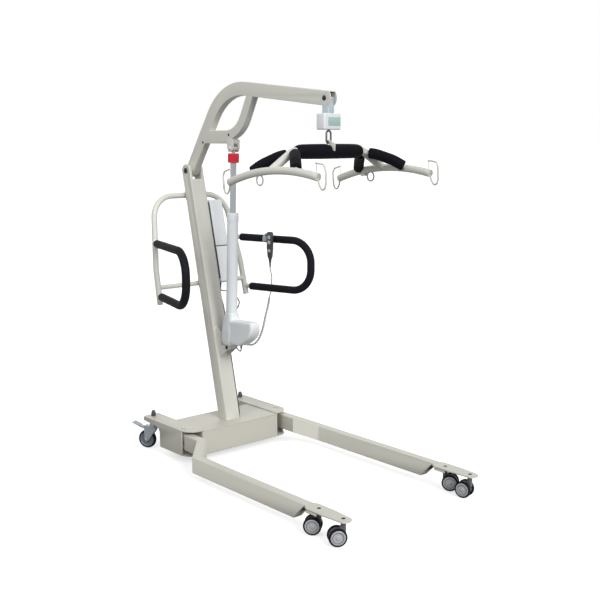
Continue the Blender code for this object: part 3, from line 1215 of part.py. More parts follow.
def smooth_route(points, spacing):
    """Catmull-Rom curve through the route's points, sampled at an even spacing."""
    points = [Vector(p) for p in points]
    points = [points[0] * 2 - points[1]] + points + [points[-1] * 2 - points[-2]]
    fine = []
    for p0, p1, p2, p3 in zip(points, points[1:], points[2:], points[3:]):
        for i in range(24):
            t = i / 24
            fine.append(0.5 * (2 * p1 + (p2 - p0) * t + (2 * p0 - 5 * p1 + 4 * p2 - p3) * t * t
                               + (3 * p1 - 3 * p2 + p3 - p0) * t ** 3))
    fine.append(points[-2])
    lengths = [0.0]
    for a, b in zip(fine, fine[1:]):
        lengths.append(lengths[-1] + (b - a).length)
    count = max(2, round(lengths[-1] / spacing))
    result, k = [], 0
    for i in range(count + 1):
        target = lengths[-1] * i / count
        while k < len(fine) - 2 and lengths[k + 1] < target:
            k += 1
        part = (target - lengths[k]) / max(1e-9, lengths[k + 1] - lengths[k])
        result.append(fine[k].lerp(fine[k + 1], min(1.0, part)))
    return result, lengths[-1]


def curly_points(route, turns, radius, per_turn):
    """A helix wound on a route, its frame carried along without twist."""
    fine, _ = smooth_route(route, 0.001)
    steps = turns * per_turn
    side = (fine[1] - fine[0]).orthogonal().normalized()
    points = []
    previous = 0
    for i in range(steps + 1):
        at = i / steps * (len(fine) - 1)
        k = min(int(at), len(fine) - 2)
        for m in range(previous, k + 1):
            direction = (fine[m + 1] - fine[m]).normalized()
            side = (side - direction * side.dot(direction)).normalized()
        previous = k
        centre = fine[k].lerp(fine[k + 1], at - k)
        direction = (fine[k + 1] - fine[k]).normalized()
        other = direction.cross(side)
        ease = min(1.0, i / per_turn, (steps - i) / per_turn)
        angle = 2 * math.pi * i / per_turn
        points.append(centre + (side * math.cos(angle) + other * math.sin(angle)) * radius * ease)
    return points


def least_self_gap(points, radius, skip):
    """The smallest clear distance between turns that aren't neighbours along the tube."""
    least = 1.0
    for i, p in enumerate(points):
        for q in points[i + skip:]:
            least = min(least, (p - q).length)
    return least - 2 * radius


def box_socket(depth, y):
    """Where a cord leaves the underside of the control box, and a point straight below that."""
    return [mast_point(depth, y, BOX_LOW - GAP), mast_point(depth, y, BOX_LOW - 0.022)]


def build_cords():
    tip = handset_frame() @ Vector((0, 0, HANDSET_TIP - GAP))
    socket, below = box_socket(-0.006, 0.130)
    route = [Vector(p) for p in HANDSET_CORD]
    lead = [tip, tip - Vector((0, 0, 0.012))] + route[:STRAIGHT_POINTS]
    plain, _ = smooth_route(lead, CORD_RADIUS * 5)
    curled = curly_points(route[STRAIGHT_POINTS - 1:] + [below], CURL_COUNT, CURL_RADIUS, CURL_POINTS)
    points = plain[:-1] + curled + [(socket + below) / 2, socket]
    length = sum((b - a).length for a, b in zip(points, points[1:]))
    gap = least_self_gap(curled, CORD_RADIUS, CURL_POINTS // 2 + 1)
    print(f"handset cord: {length:.3f} m, {CURL_COUNT} curls, least gap to itself {gap * 1000:.2f} mm")
    finish(tube(points, CORD_RADIUS, 1), "handset_cord", "cord_grey")

    motor_under = ACTUATOR_PLACE @ Vector((0.085, 0, MOTOR_BOTTOM - GAP))
    power = box_socket(-0.020, 0.074) + [Vector(p) for p in ACTUATOR_CABLE]
    power += [motor_under - Vector((0, 0, 0.020)), motor_under - Vector((0, 0, 0.010)), motor_under]
    side_y = MAST_WIDTH / 2 + CABLE_RADIUS + GAP
    edge = MAST_DEPTH / 2 - CABLE_RADIUS
    clips = [-MAST_LENGTH * share for share in (0.5645, 0.6685, 0.780, 0.891)]
    down = [mast_point(edge, side_y, h) for h in (*clips, -MAST_LENGTH + 0.035)]
    foot = Vector((down[-1].x + 0.004, side_y, DECK_TOP + GAP))
    low_drive = box_socket(-0.036, 0.098) + [Vector(p) for p in LEG_CABLE] + down + [foot]
    for name, cable in (("actuator_cable", power), ("leg_cable", low_drive)):
        points, length = smooth_route(cable, CABLE_RADIUS * 8)
        print(f"{name}: {length:.3f} m")
        finish(tube(points, CABLE_RADIUS, 1), name, "dark_plastic")


# Scale, hook and spreader

def build_tip():
    outer_y = BOOM_WIDTH / 2 - BOOM_WALL - CLEVIS_GAP
    plate_low = SCALE_TOP + GAP
    front_x = TIP_PIN.x + CLEVIS_FRONT
    outline = [(TIP_PIN.x - CLEVIS_REAR, plate_low), (front_x, plate_low), (front_x, TIP_PIN.z + 0.006)]
    outline += list(arc((TIP_PIN.x, TIP_PIN.z), CLEVIS_REAR, 60, 180, 6))
    sides = [sheet([outline], CLEVIS_PLATE, beside(sign * (outer_y - CLEVIS_PLATE / 2))) for sign in (1, -1)]
    face = block((front_x - CLEVIS_PLATE / 2, -outer_y, plate_low + 0.004),
                 (front_x + CLEVIS_PLATE / 2, outer_y, TIP_PIN.z + 0.006))
    base = block((TIP_PIN.x - CLEVIS_REAR + BITE, -outer_y + BITE, plate_low + GAP),
                 (front_x, outer_y - BITE, plate_low + CLEVIS_BASE))
    clevis = weld(sides[0], sides[1], face, base)
    hole = pin_along_y(TIP_PIN, MAST_WIDTH, TIP_BOLT_RADIUS + PIVOT_GAP, sides=12)
    finish(cut(clevis, hole), "tip_clevis", "bright_steel", TIP_SWING)
    finish(pin_along_y(TIP_PIN, BOOM_WIDTH / 2 + GAP + TIP_BOLT_HEAD[1], TIP_BOLT_RADIUS, TIP_BOLT_HEAD, 12),
           "tip_bolt", "black_steel", TIP_SWING)

    size = SCALE_SIZE
    low = Vector((SCALE_CENTRE_X - size.x / 2, -size.y / 2, SCALE_TOP - size.z))
    case = bevelled(block(low, low + size), 0.005)
    eye_x = SCALE_CENTRE_X
    socket = round_bar((eye_x, 0, low.z - 0.010), (eye_x, 0, low.z + 0.022), 0.006 + PIVOT_GAP, 12)
    finish(cut(case, socket), "scale_box", "white_plastic", TIP_SWING)
    face_x = SCALE_CENTRE_X + size.x / 2
    lcd = bevelled(block((face_x + GAP, -0.028, SCALE_TOP - 0.055), (face_x + 0.002, 0.046, SCALE_TOP - 0.017)),
                   0.001, 1)
    finish(lcd, "scale_display", "display_green", TIP_SWING)

    half, wire = HOOK_HALF_WIDTH, HOOK_WIRE
    top_z = low.z - 0.006
    stem = round_bar((eye_x, 0, top_z - 0.002), (eye_x, 0, low.z + 0.020), 0.006, 12)
    loop = [(eye_x, y, z) for y, z in arc((0, HOOK_BOTTOM + half), half, 180, 360, 6)]
    loop += [(eye_x, y, z) for y, z in arc((0, low.z - half - wire - GAP), half, 0, 180, 6)]
    eye = tube(loop, wire, 1, closed=True)
    finish(weld(eye, stem), "hook_eye", "bright_steel", HOOK_SWIVEL)


SPREADER_PIVOT = Vector((SCALE_CENTRE_X, 0, HOOK_BOTTOM))
SPREADER_TURN = (Matrix.Translation(SPREADER_PIVOT) @ Matrix.Rotation(-SPREADER_PITCH, 4, "Y")
                 @ Matrix.Translation((0, 0, -SPREADER_PIVOT.z)))


def arc_point(x, side):
    return Vector((x, side * ARC_Y, ARC_CROWN_Z - ARC_SAG * (x / ARC_HALF_LENGTH) ** 2))


def arc_line(side):
    return [arc_point(ARC_HALF_LENGTH * i / 3, side) for i in range(-3, 4)]


def bar_path():
    """Centre tube: straight under the pad, then bending down to the crown of each arc."""
    corners = [Vector((0, -ARC_Y, ARC_CROWN_Z)), Vector((0, -BAR_STRAIGHT_Y - 0.012, BAR_CENTRE_Z)),
               Vector((0, BAR_STRAIGHT_Y + 0.012, BAR_CENTRE_Z)), Vector((0, ARC_Y, ARC_CROWN_Z))]
    return rounded_path(corners, [0.045, 0.045], 12)


def brace_path(fore, side):
    """Core of a padded brace, from the bar's end out to the arc, bowed upwards a little."""
    start = Vector((0, side * BRACE_START_Y, BAR_CENTRE_Z - 0.006))
    end = arc_point(fore * BRACE_END_X, side)
    return [start, start.lerp(end, 0.32) + Vector((0, 0, BRACE_BOW)),
            start.lerp(end, 0.68) + Vector((0, 0, BRACE_BOW)), end]


def sling_hook(fore, side):
    """Open wire hook beyond the end of an arc, with its closing wire."""
    tip = arc_point(fore * ARC_HALF_LENGTH, side)
    shape = ((-0.006, 0.000), (0.006, -0.036), (0.020, -0.053), (0.038, -0.047),
             (0.045, -0.026), (0.046, 0.030), (0.036, 0.051), (-0.012, 0.060))
    points = [tip + Vector((fore * u, 0, v)) for u, v in shape]
    latch = [tip + Vector((fore * -0.008, 0, 0.058)), tip + Vector((fore * -0.010, 0, 0.004))]
    return tube(points, SLING_WIRE, 1), tube(latch, 0.0016, 0)


def eye_ring(side):
    """Small closed ring under an arc."""
    top = arc_point(RING_X, side)
    centre = top.z - ARC_TUBE_RADIUS - RING_RADIUS * 0.82
    points = [(x, top.y, z) for x, z in arc((RING_X, centre), RING_RADIUS, 0, 315, 7)]
    return tube(points, RING_WIRE, 1, closed=True)


def build_spreader():
    bar = tube(bar_path(), BAR_TUBE_RADIUS, 2)
    pieces = []
    for side in (1, -1):
        pieces.append(tube(arc_line(side), ARC_TUBE_RADIUS, 2))
        pieces.append(eye_ring(side))
        for fore in (1, -1):
            pieces.append(tube(brace_path(fore, side), BRACE_CORE_RADIUS, 1))
            pieces += sling_hook(fore, side)
    tab = sheet([[(-0.014, BAR_CENTRE_Z), (0.040, BAR_CENTRE_Z), (0.044, BAR_CENTRE_Z + PAD_RADIUS - 0.002),
                  (0.030, BAR_CENTRE_Z + PAD_RADIUS + 0.004)]
                 + list(arc((0, HOOK_BOTTOM), 0.013, 20, 180, 6))], TAB_THICKNESS, beside(0))
    bracket_at = arc_point(-0.122, 1)
    bracket = block(bracket_at + Vector((-0.020, -0.010, -0.028)), bracket_at + Vector((0.012, 0.010, 0.0)))
    frame = weld(bar, *pieces, tab, bracket)
    slack = 0.0026
    wire_rise = HOOK_HALF_WIDTH - math.sqrt(HOOK_HALF_WIDTH ** 2 - (TAB_THICKNESS / 2) ** 2)
    hole_centre = Vector((0, 0, HOOK_BOTTOM + wire_rise + 2 * GAP - slack))
    eye_hole = pin_along_y(hole_centre, 0.02, HOOK_WIRE + slack)
    frame = cut(frame, eye_hole)
    finish(moved(frame, SPREADER_TURN), "spreader_frame", "cream_paint", SPREADER_ROCK)

    half, r = PAD_HALF_LENGTH, PAD_RADIUS
    ends = [(0.30, half), (0.62, half - 0.004), (0.86, half - 0.014), (0.97, half - 0.030), (1.0, half - 0.055)]
    crown = [(share * r, y) for share, y in ends] + [(r * 1.02, half * 0.35)]
    profile = [(BAR_TUBE_RADIUS + 0.0010, half - 0.0005)] + [p for p in crown if p[0] > BAR_TUBE_RADIUS + 0.001]
    profile += [(p[0], -p[1]) for p in reversed(profile)]
    pad = turned(profile, Matrix.Translation((0, 0, BAR_CENTRE_Z)) @ AXLE_TURN, 12)
    slot = block((-0.0155, -TAB_THICKNESS / 2 - 0.0005, BAR_CENTRE_Z), (0.0455, TAB_THICKNESS / 2 + 0.0005,
                                                                       BAR_CENTRE_Z + 0.060))
    dip_y, dip_z = HOOK_HALF_WIDTH + HOOK_WIRE + 0.003, HOOK_BOTTOM - HOOK_WIRE - 0.007
    dip = block((-0.016, -dip_y, dip_z), (0.016, dip_y, BAR_CENTRE_Z + 0.060))
    pad = cut(pad, weld(slot, dip))
    finish(moved(pad, SPREADER_TURN), "centre_pad", "black_foam", SPREADER_ROCK)

    for side, word in ((1, "left"), (-1, "right")):
        for fore, end_word in ((1, "front"), (-1, "rear")):
            core = brace_path(fore, side)
            path = [core[0].lerp(core[1], 0.5), core[1], core[2], core[2].lerp(core[3], 0.72)]
            sleeve = tube(path, BRACE_PAD_RADIUS, 3)
            room = [tube(core, BRACE_CORE_RADIUS + 0.0005, 1),
                    tube(bar_path(), BAR_TUBE_RADIUS + 0.0006, 2),
                    tube(arc_line(side), ARC_TUBE_RADIUS + 0.0006, 2),
                    round_bar((0, side * (PAD_HALF_LENGTH - 0.08), BAR_CENTRE_Z),
                              (0, side * (PAD_HALF_LENGTH + 0.0006), BAR_CENTRE_Z), PAD_RADIUS * 1.02 + 0.0006, 12)]
            pad = cut(sleeve, *room)
            finish(moved(pad, SPREADER_TURN), f"brace_pad_{end_word}_{word}", "black_foam", SPREADER_ROCK)


# Joint axes

BOOM_AXIS = empty("boom_axis", MAST_HEAD, ROOT)
ACTUATOR_TILT = empty("actuator_tilt_axis", LOWER_PIN, ROOT)
ROD_SLIDE = empty("rod_slide_axis", LOWER_PIN, ACTUATOR_TILT)
COLLAR_SLIDE = empty("collar_slide_axis", UPPER_PIN, ROD_SLIDE)
YOKE_SLIDE = empty("yoke_slide_axis", (LEG_PIVOT.x, 0, YOKE_BOTTOM), ROOT)
TIP_SWING = empty("tip_swing_axis", TIP_PIN, BOOM_AXIS)
HOOK_SWIVEL = empty("hook_swivel_axis", (SCALE_CENTRE_X, 0, SCALE_TOP - SCALE_SIZE.z), TIP_SWING)
SPREADER_ROCK = empty("spreader_rock_axis", SPREADER_PIVOT, HOOK_SWIVEL)

FRONT_YAWS = {("right", 0): -141.5, ("right", 1): -122.5, ("left", 0): 33.5, ("left", 1): -166.1}

build_base()
build_mast()
build_boom()
build_actuator()
build_handles()
build_control_box()
build_handset()
build_cords()
build_leg_drive()
for leg_side, leg_word in ((1, "left"), (-1, "right")):
    leg_axis = empty(f"leg_{leg_word}_axis", (LEG_PIVOT.x, leg_side * LEG_PIVOT.y, 0), ROOT)
    build_leg(leg_word, leg_axis)
    build_rear_caster(leg_word, leg_side)
    for number, caster_x in enumerate(FRONT_CASTER_X):
        spot = Vector((caster_x, leg_side * CASTER_LINE_Y, 0))
        build_front_caster(f"caster_{leg_word}_{'inner' if number == 0 else 'outer'}", spot,
                           math.radians(FRONT_YAWS[(leg_word, number)]), leg_axis)
build_tip()
build_spreader()
print(f"origin lies {FOOTPRINT_MIDDLE.x:.4f} m ahead of the leg pivots' datum")
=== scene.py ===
# %% [markdown]
# Patient lift, the looks
#
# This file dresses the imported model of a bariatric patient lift: a wheeled steel base with two long
# legs, a leaning mast, a looped boom lifted by an electric actuator, and a padded spreader bar under
# a weighing scale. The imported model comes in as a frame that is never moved. Each step below makes
# one piece of the lift and lets it ride on the moving group that carries it. Sizes are in metres.

import json
import math

import bmesh
import bpy
from mathutils import Matrix, Vector

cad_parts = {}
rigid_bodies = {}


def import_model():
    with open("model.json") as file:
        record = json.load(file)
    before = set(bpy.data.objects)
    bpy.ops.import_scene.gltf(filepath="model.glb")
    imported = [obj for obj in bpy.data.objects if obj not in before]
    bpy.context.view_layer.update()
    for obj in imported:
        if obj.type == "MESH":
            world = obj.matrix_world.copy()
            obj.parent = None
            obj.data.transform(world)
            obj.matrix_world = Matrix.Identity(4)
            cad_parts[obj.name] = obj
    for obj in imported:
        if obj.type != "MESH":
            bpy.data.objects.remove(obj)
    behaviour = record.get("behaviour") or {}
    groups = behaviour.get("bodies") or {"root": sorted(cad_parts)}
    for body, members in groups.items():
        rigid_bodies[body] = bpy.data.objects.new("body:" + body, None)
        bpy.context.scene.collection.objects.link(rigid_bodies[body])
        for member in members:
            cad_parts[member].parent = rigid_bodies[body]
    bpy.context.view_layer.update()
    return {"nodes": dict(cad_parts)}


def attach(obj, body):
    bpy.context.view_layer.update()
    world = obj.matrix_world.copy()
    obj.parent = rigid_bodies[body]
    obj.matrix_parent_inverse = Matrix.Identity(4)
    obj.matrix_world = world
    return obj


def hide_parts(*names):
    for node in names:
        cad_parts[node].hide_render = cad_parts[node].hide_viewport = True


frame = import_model()
NODES = frame["nodes"]
ORIGIN_SHIFT = Vector((-0.45338, 0.0, 0.0))     # from the drawing's datum to the frame's origin

# %% [markdown]
# The camera
#
# The photograph was taken from the front right of the lift, at about head height, with a fairly long
# lens. These numbers come from fitting some forty points of the lift to the photograph, so the
# picture and the model can be laid over each other.

# %% Camera
bpy.ops.object.camera_add(
    location=(3.5916, -3.055, 1.661),
    rotation=(math.radians(80.57), 0.0, math.radians(48.86)))
camera = bpy.context.object
camera.name = "camera"
camera.data.lens = 58.6
camera.data.sensor_width = 36.0
bpy.context.scene.camera = camera

# %% [markdown]
# Where things are
#
# The drawing of the lift counts from a datum just ahead of the leg pivots, and two groups lean:
# everything on the mast follows its 13 degree lean, and the spreader bar hangs a little nose up. A
# matrix for each of them lets a piece be placed by the plain numbers that the real one is made to.

# %% Places of the leaning groups
MAST_HEAD = Vector((-0.332, 0.0, 1.487))
MAST_LEAN = math.radians(13.0)
LOWER_PIN = Vector((-0.005, 0.0, 0.57))
UPPER_PIN = Vector((0.034, 0.0, 1.608))
TIP_PIN = Vector((0.7364, 0.0, 1.838))
HOOK_SEAT = Vector((0.745, 0.0, 1.6385))
DECK_TOP, SIDE_TOP, LEG_PLATE_TOP = 0.175, 0.181, 0.115
MAST_LENGTH = (MAST_HEAD.z - DECK_TOP) / math.cos(MAST_LEAN)
SEAT_GAP = 0.0003               # left between pieces that only rest on each other


def turn(degrees, axis):
    return Matrix.Rotation(math.radians(degrees), 4, axis)


def shift(x, y, z):
    return Matrix.Translation((x, y, z))


def at(x, y, z):
    """A point of the drawing in the frame that the scene uses."""
    return Vector((x, y, z)) + ORIGIN_SHIFT


SIDEWAYS = turn(-90, "X")       # turns local Z onto Y
SIDES = ((1, "left"), (-1, "right"))
MAST_PLACE = Matrix.Translation(MAST_HEAD + ORIGIN_SHIFT) @ Matrix.Rotation(-MAST_LEAN, 4, "Y")
ACTUATOR_LINE = UPPER_PIN - LOWER_PIN
ACTUATOR_PLACE = (Matrix.Translation(LOWER_PIN + ORIGIN_SHIFT)
                  @ Matrix.Rotation(math.atan2(ACTUATOR_LINE.x, ACTUATOR_LINE.z), 4, "Y"))
SPREADER_PLACE = Matrix.Translation(HOOK_SEAT + ORIGIN_SHIFT) @ turn(-3.8, "Y") @ shift(0, 0, -HOOK_SEAT.z)

FRAME_DEPTH = -0.0646           # the handle frame's plane, behind the mast's middle
HANDLE_SPLAY = math.radians(15.8)
HANDLE_LOW_Z, HANDLE_HIGH_Z = 0.843, 1.115
HANDLE_ROOT_Y, HANDLE_REACH, HANDLE_BEND = 0.2835, 0.441, 0.118
HOOP_TUBE, HANDLE_TUBE, GRIP = 0.015, 0.0125, 0.0205          # radii
HANDSET_ALONG, HANDSET_ASIDE = 0.199, 0.0345    # from the handle's root, and inward from its line


def frame_height(z):
    """Height along the mast of the handle frame's plane at a level above the floor."""
    return (z - MAST_HEAD.z - FRAME_DEPTH * math.sin(MAST_LEAN)) / math.cos(MAST_LEAN)


def handle_root(side):
    """Where the lower arm of a push handle leaves the frame, and the way it points."""
    start = MAST_PLACE @ Vector((FRAME_DEPTH, side * HANDLE_ROOT_Y, frame_height(HANDLE_LOW_Z)))
    return start, Vector((math.cos(HANDLE_SPLAY), side * math.sin(HANDLE_SPLAY), 0.0))


def handset_place():
    """X back along the handle, Y to the inside of the handle, Z up."""
    start, way = handle_root(1)
    inside = Vector((way.y, -way.x, 0.0))
    middle = start + way * HANDSET_ALONG + inside * HANDSET_ASIDE
    facing = Matrix((-way, inside, Vector((0, 0, 1)))).transposed().to_4x4()
    return shift(middle.x, middle.y, 0.0) @ facing


# %% [markdown]
# The cords
#
# Three cords leave the underside of the control box. The handset's is a retractile cord: a thin grey
# lead wound into small curls, which hangs in a deep loop between the handset and the box. The other
# two are plain dark cables, one round to the lift motor, one down the side of the mast to the motor
# that spreads the legs. They are curves through the same points as the solid model's cords. The
# curls are a helix wound on such a curve, with its frame carried along so that it doesn't twist.

# %% Cord routes, in whole millimetres of the drawing
CORD_DIAMETER, CABLE_DIAMETER = 0.005, 0.006
CURL_RADIUS, CURL_COUNT, POINTS_PER_CURL = 0.005, 62, 14
HANDSET_LEAD = ((-52, 318, 918), (-76, 338, 887), (-98, 354, 860), (-106, 359, 835), (-108, 356, 812),
                (-108, 347, 790))
HANDSET_CURLS = ((-105, 335, 741), (-96, 310, 687), (-83, 274, 608), (-85, 239, 552), (-98, 205, 535),
                 (-115, 175, 548), (-135, 155, 590), (-152, 145, 650), (-165, 138, 720), (-178, 132, 790))
MOTOR_CABLE = ((-180, 70, 845), (-135, 62, 848), (-100, 56, 852), (-59, 50, 845), (-18, 47, 832),
               (8, 47, 806), (-8, 48, 776), (-45, 52, 740), (-70, 55, 690), (-78, 56, 630),
               (-56, 52, 578), (-10, 46, 550), (35, 28, 548), (64, 10, 560))
BASE_CABLE = ((-208, 85, 842), (-180, 64, 832), (-156, 52, 805))
BASE_CABLE_X, BASE_CABLE_Y = 0.032, 0.0483      # down the mast's left side
CLIP_SHARES = (0.5645, 0.6685, 0.78, 0.891)     # of the mast's length
HANDSET_EXIT_Z = 0.9622         # the tip of the handset's gland
MOTOR_ENTRY = Vector((0.085, 0, 0.0257))        # under the motor, as the actuator lies
BOX_LOW = -0.615                # the control box's underside, along the mast
BOX_EXITS = ((-0.006, 0.13), (-0.02, 0.074), (-0.036, 0.098))   # handset, motor and base cable


def route(points):
    return [at(x / 1000, y / 1000, z / 1000) for x, y, z in points]


def through(points, spacing):
    """A smooth curve through the points, cut into even steps."""
    points = [points[0] * 2 - points[1]] + points + [points[-1] * 2 - points[-2]]
    fine = []
    for p0, p1, p2, p3 in zip(points, points[1:], points[2:], points[3:]):
        for i in range(24):
            t = i / 24
            fine.append(0.5 * (2 * p1 + (p2 - p0) * t + (2 * p0 - 5 * p1 + 4 * p2 - p3) * t * t
                               + (3 * p1 - 3 * p2 + p3 - p0) * t ** 3))
    fine.append(points[-2])
    lengths = [0.0]
    for a, b in zip(fine, fine[1:]):
        lengths.append(lengths[-1] + (b - a).length)
    count = max(2, round(lengths[-1] / spacing))
    result, k = [], 0
    for i in range(count + 1):
        target = lengths[-1] * i / count
        while k < len(fine) - 2 and lengths[k + 1] < target:
            k += 1
        part = (target - lengths[k]) / max(1e-9, lengths[k + 1] - lengths[k])
        result.append(fine[k].lerp(fine[k + 1], min(1.0, part)))
    return result


def curls(points):
    """A helix wound on the curve, easing in and out over its first and last turn."""
    fine = through(points, 0.001)
    steps = CURL_COUNT * POINTS_PER_CURL
    side = (fine[1] - fine[0]).orthogonal().normalized()
    helix, previous = [], 0
    for i in range(steps + 1):
        here = i / steps * (len(fine) - 1)
        k = min(int(here), len(fine) - 2)
        for m in range(previous, k + 1):
            way = (fine[m + 1] - fine[m]).normalized()
            side = (side - way * side.dot(way)).normalized()
        previous = k
        ease = min(1.0, i / POINTS_PER_CURL, (steps - i) / POINTS_PER_CURL)
        angle = 2 * math.pi * i / POINTS_PER_CURL
        outward = side * math.cos(angle) + way.cross(side) * math.sin(angle)
        helix.append(fine[k].lerp(fine[k + 1], here - k) + outward * CURL_RADIUS * ease)
    return helix


# %% Cord curves
def cord_curve(name, points, diameter):
    """An open curve with a round section, and its length."""
    data = bpy.data.curves.new(name, "CURVE")
    data.dimensions = "3D"
    data.bevel_depth = diameter / 2
    data.bevel_resolution = 3
    data.use_fill_caps = True
    spline = data.splines.new("POLY")
    spline.points.add(len(points) - 1)
    for point, place in zip(spline.points, points):
        point.co = (*place, 1.0)
        point.radius = 1.0
    spline.use_smooth = True
    piece = bpy.data.objects.new(name, data)
    bpy.context.scene.collection.objects.link(piece)
    length = sum((b - a).length for a, b in zip(points, points[1:]))
    print(f"{name}: {len(points)} points, {length:.3f} m")
    return piece, length


def box_exit(number):
    """Where a cord leaves the box's underside, and a point 22 mm straight below."""
    return [MAST_PLACE @ Vector((*BOX_EXITS[number], BOX_LOW - drop)) for drop in (SEAT_GAP, 0.022)]


HANDSET_PLACE = handset_place()
handset_tip = HANDSET_PLACE @ Vector((0, 0, HANDSET_EXIT_Z))
socket, below = box_exit(0)
lead = through([handset_tip, handset_tip - Vector((0, 0, 0.012))] + route(HANDSET_LEAD), 0.008)
wound = curls([lead[-1]] + route(HANDSET_CURLS) + [below])
handset_cord, handset_length = cord_curve(
    "handset_curly_cord", lead[:-1] + wound + [(socket + below) / 2, socket], CORD_DIAMETER)

motor_under = ACTUATOR_PLACE @ MOTOR_ENTRY
motor_points = box_exit(1) + route(MOTOR_CABLE)
motor_points += [motor_under - Vector((0, 0, drop)) for drop in (0.02, 0.01, 0.0)]
motor_cable, motor_length = cord_curve("motor_cable", through(motor_points, 0.0185), CABLE_DIAMETER)

clips = [-MAST_LENGTH * share for share in CLIP_SHARES]
down = [MAST_PLACE @ Vector((BASE_CABLE_X, BASE_CABLE_Y, h)) for h in (*clips, 0.035 - MAST_LENGTH)]
foot = Vector((down[-1].x + 0.004, BASE_CABLE_Y, DECK_TOP + SEAT_GAP))
base_points = box_exit(2) + route(BASE_CABLE) + down + [foot]
base_cable, base_length = cord_curve("base_cable", through(base_points, 0.02), CABLE_DIAMETER)

# %% [markdown]
# Shared effects for the materials
#
# Powder coat, moulded plastic, foam, fabric and rubber share a few effects: a fine grain that breaks
# up the gloss, a slow drift of the colour, dust that gathers near the floor, and a woven thread.
# Each is a node group that is built once and placed in each material with its own values. The
# groups give only colours, masks and heights, and the shader stays in the material.

# %% Node helpers
def new_group(name, inputs, outputs):
    """An empty node group with sockets of the given kinds: its tree, what comes in and what goes out."""
    tree = bpy.data.node_groups.new(name, "ShaderNodeTree")
    for way, sockets in (("INPUT", inputs), ("OUTPUT", outputs)):
        for label, kind in sockets.items():
            tree.interface.new_socket(label, in_out=way, socket_type="NodeSocket" + kind)
    return tree, tree.nodes.new("NodeGroupInput").outputs, tree.nodes.new("NodeGroupOutput").inputs


def feed(tree, target, value):
    """Sets an input, or links it where the value is another node's output."""
    if isinstance(value, bpy.types.NodeSocket):
        tree.links.new(value, target)
    else:
        target.default_value = value


def node(tree, kind, **values):
    """Adds a node; keys with an underscore set its own options, the others its inputs."""
    made = tree.nodes.new(kind)
    for key, value in values.items():
        if key.startswith("_"):
            setattr(made, key[1:], value)
        else:
            feed(tree, made.inputs[key.replace("__", " ")], value)
    return made


def sums(tree, operation, *values, clamp=False):
    """The result of a math node."""
    made = node(tree, "ShaderNodeMath", _operation=operation, _use_clamp=clamp)
    for target, value in zip(made.inputs, values):
        feed(tree, target, value)
    return made.outputs[0]


# %% Grain: roughness and height
GRAIN, given, result = new_group(
    "fine_grain", dict(Vector="Vector", Scale="Float", Roughness="Float", Spread="Float"),
    dict(Roughness="Float", Height="Float"))
fine = node(GRAIN, "ShaderNodeTexNoise", Vector=given["Vector"], Scale=given["Scale"], Detail=3.0)
coarse = node(GRAIN, "ShaderNodeTexNoise", Vector=given["Vector"],
              Scale=sums(GRAIN, "MULTIPLY", given["Scale"], 0.04), Detail=2.0)
centred = sums(GRAIN, "SUBTRACT", coarse.outputs["Fac"], 0.5)
feed(GRAIN, result["Roughness"], sums(GRAIN, "MULTIPLY_ADD", centred, given["Spread"], given["Roughness"]))
feed(GRAIN, result["Height"], fine.outputs["Fac"])

# %% Drift: a slow change of colour
DRIFT, given, result = new_group(
    "colour_drift", dict(Vector="Vector", Scale="Float", Colour="Color", Other="Color", Amount="Float"),
    dict(Colour="Color"))
cloud = node(DRIFT, "ShaderNodeTexNoise", Vector=given["Vector"], Scale=given["Scale"], Detail=4.0)
tones = node(DRIFT, "ShaderNodeMix", _data_type="RGBA", A=given["Colour"], B=given["Other"],
             Factor=sums(DRIFT, "MULTIPLY", cloud.outputs["Fac"], given["Amount"], clamp=True))
feed(DRIFT, result["Colour"], tones.outputs["Result"])

# %% Dust: a mask that fades out above the floor
DUST, given, result = new_group("floor_dust", dict(Vector="Vector", Height="Float"), dict(Mask="Float"))
split = node(DUST, "ShaderNodeSeparateXYZ", Vector=given["Vector"])
fade = node(DUST, "ShaderNodeMapRange", _clamp=True, Value=split.outputs["Z"], From__Max=given["Height"],
            To__Min=1.0, To__Max=0.0)
specks = node(DUST, "ShaderNodeTexNoise", Vector=given["Vector"], Scale=30.0, Detail=6.0, Roughness=0.7)
feed(DUST, result["Mask"], sums(DUST, "MULTIPLY", fade.outputs[0], specks.outputs["Fac"]))

# %% Weave: crossed threads in space, so that it needs no unwrapping
WEAVE, given, result = new_group(
    "woven_thread", dict(Vector="Vector", Pitch="Float"), dict(Height="Float"))
threads = node(WEAVE, "ShaderNodeVectorMath", _operation="SCALE", Vector=given["Vector"],
               Scale=sums(WEAVE, "DIVIDE", 2 * math.pi, given["Pitch"]))
sines = node(WEAVE, "ShaderNodeVectorMath", _operation="SINE", Vector=threads.outputs[0])
parts = node(WEAVE, "ShaderNodeSeparateXYZ", Vector=sines.outputs[0])
crossed = sums(WEAVE, "MULTIPLY_ADD", *(parts.outputs[axis] for axis in "XYZ"))
feed(WEAVE, result["Height"], sums(WEAVE, "MULTIPLY_ADD", crossed, 0.25, 0.5))

# %% [markdown]
# The finishes
#
# One function builds a finish from these groups: the colour drifts a little, dust greys the lowest
# hand's breadth, and the grain moves both the roughness and the surface. Fabric adds its weave. The
# numbers are read off the real materials: an eggshell powder coat, moulded plastic with a spark
# eroded grain, rubber that is almost matt.


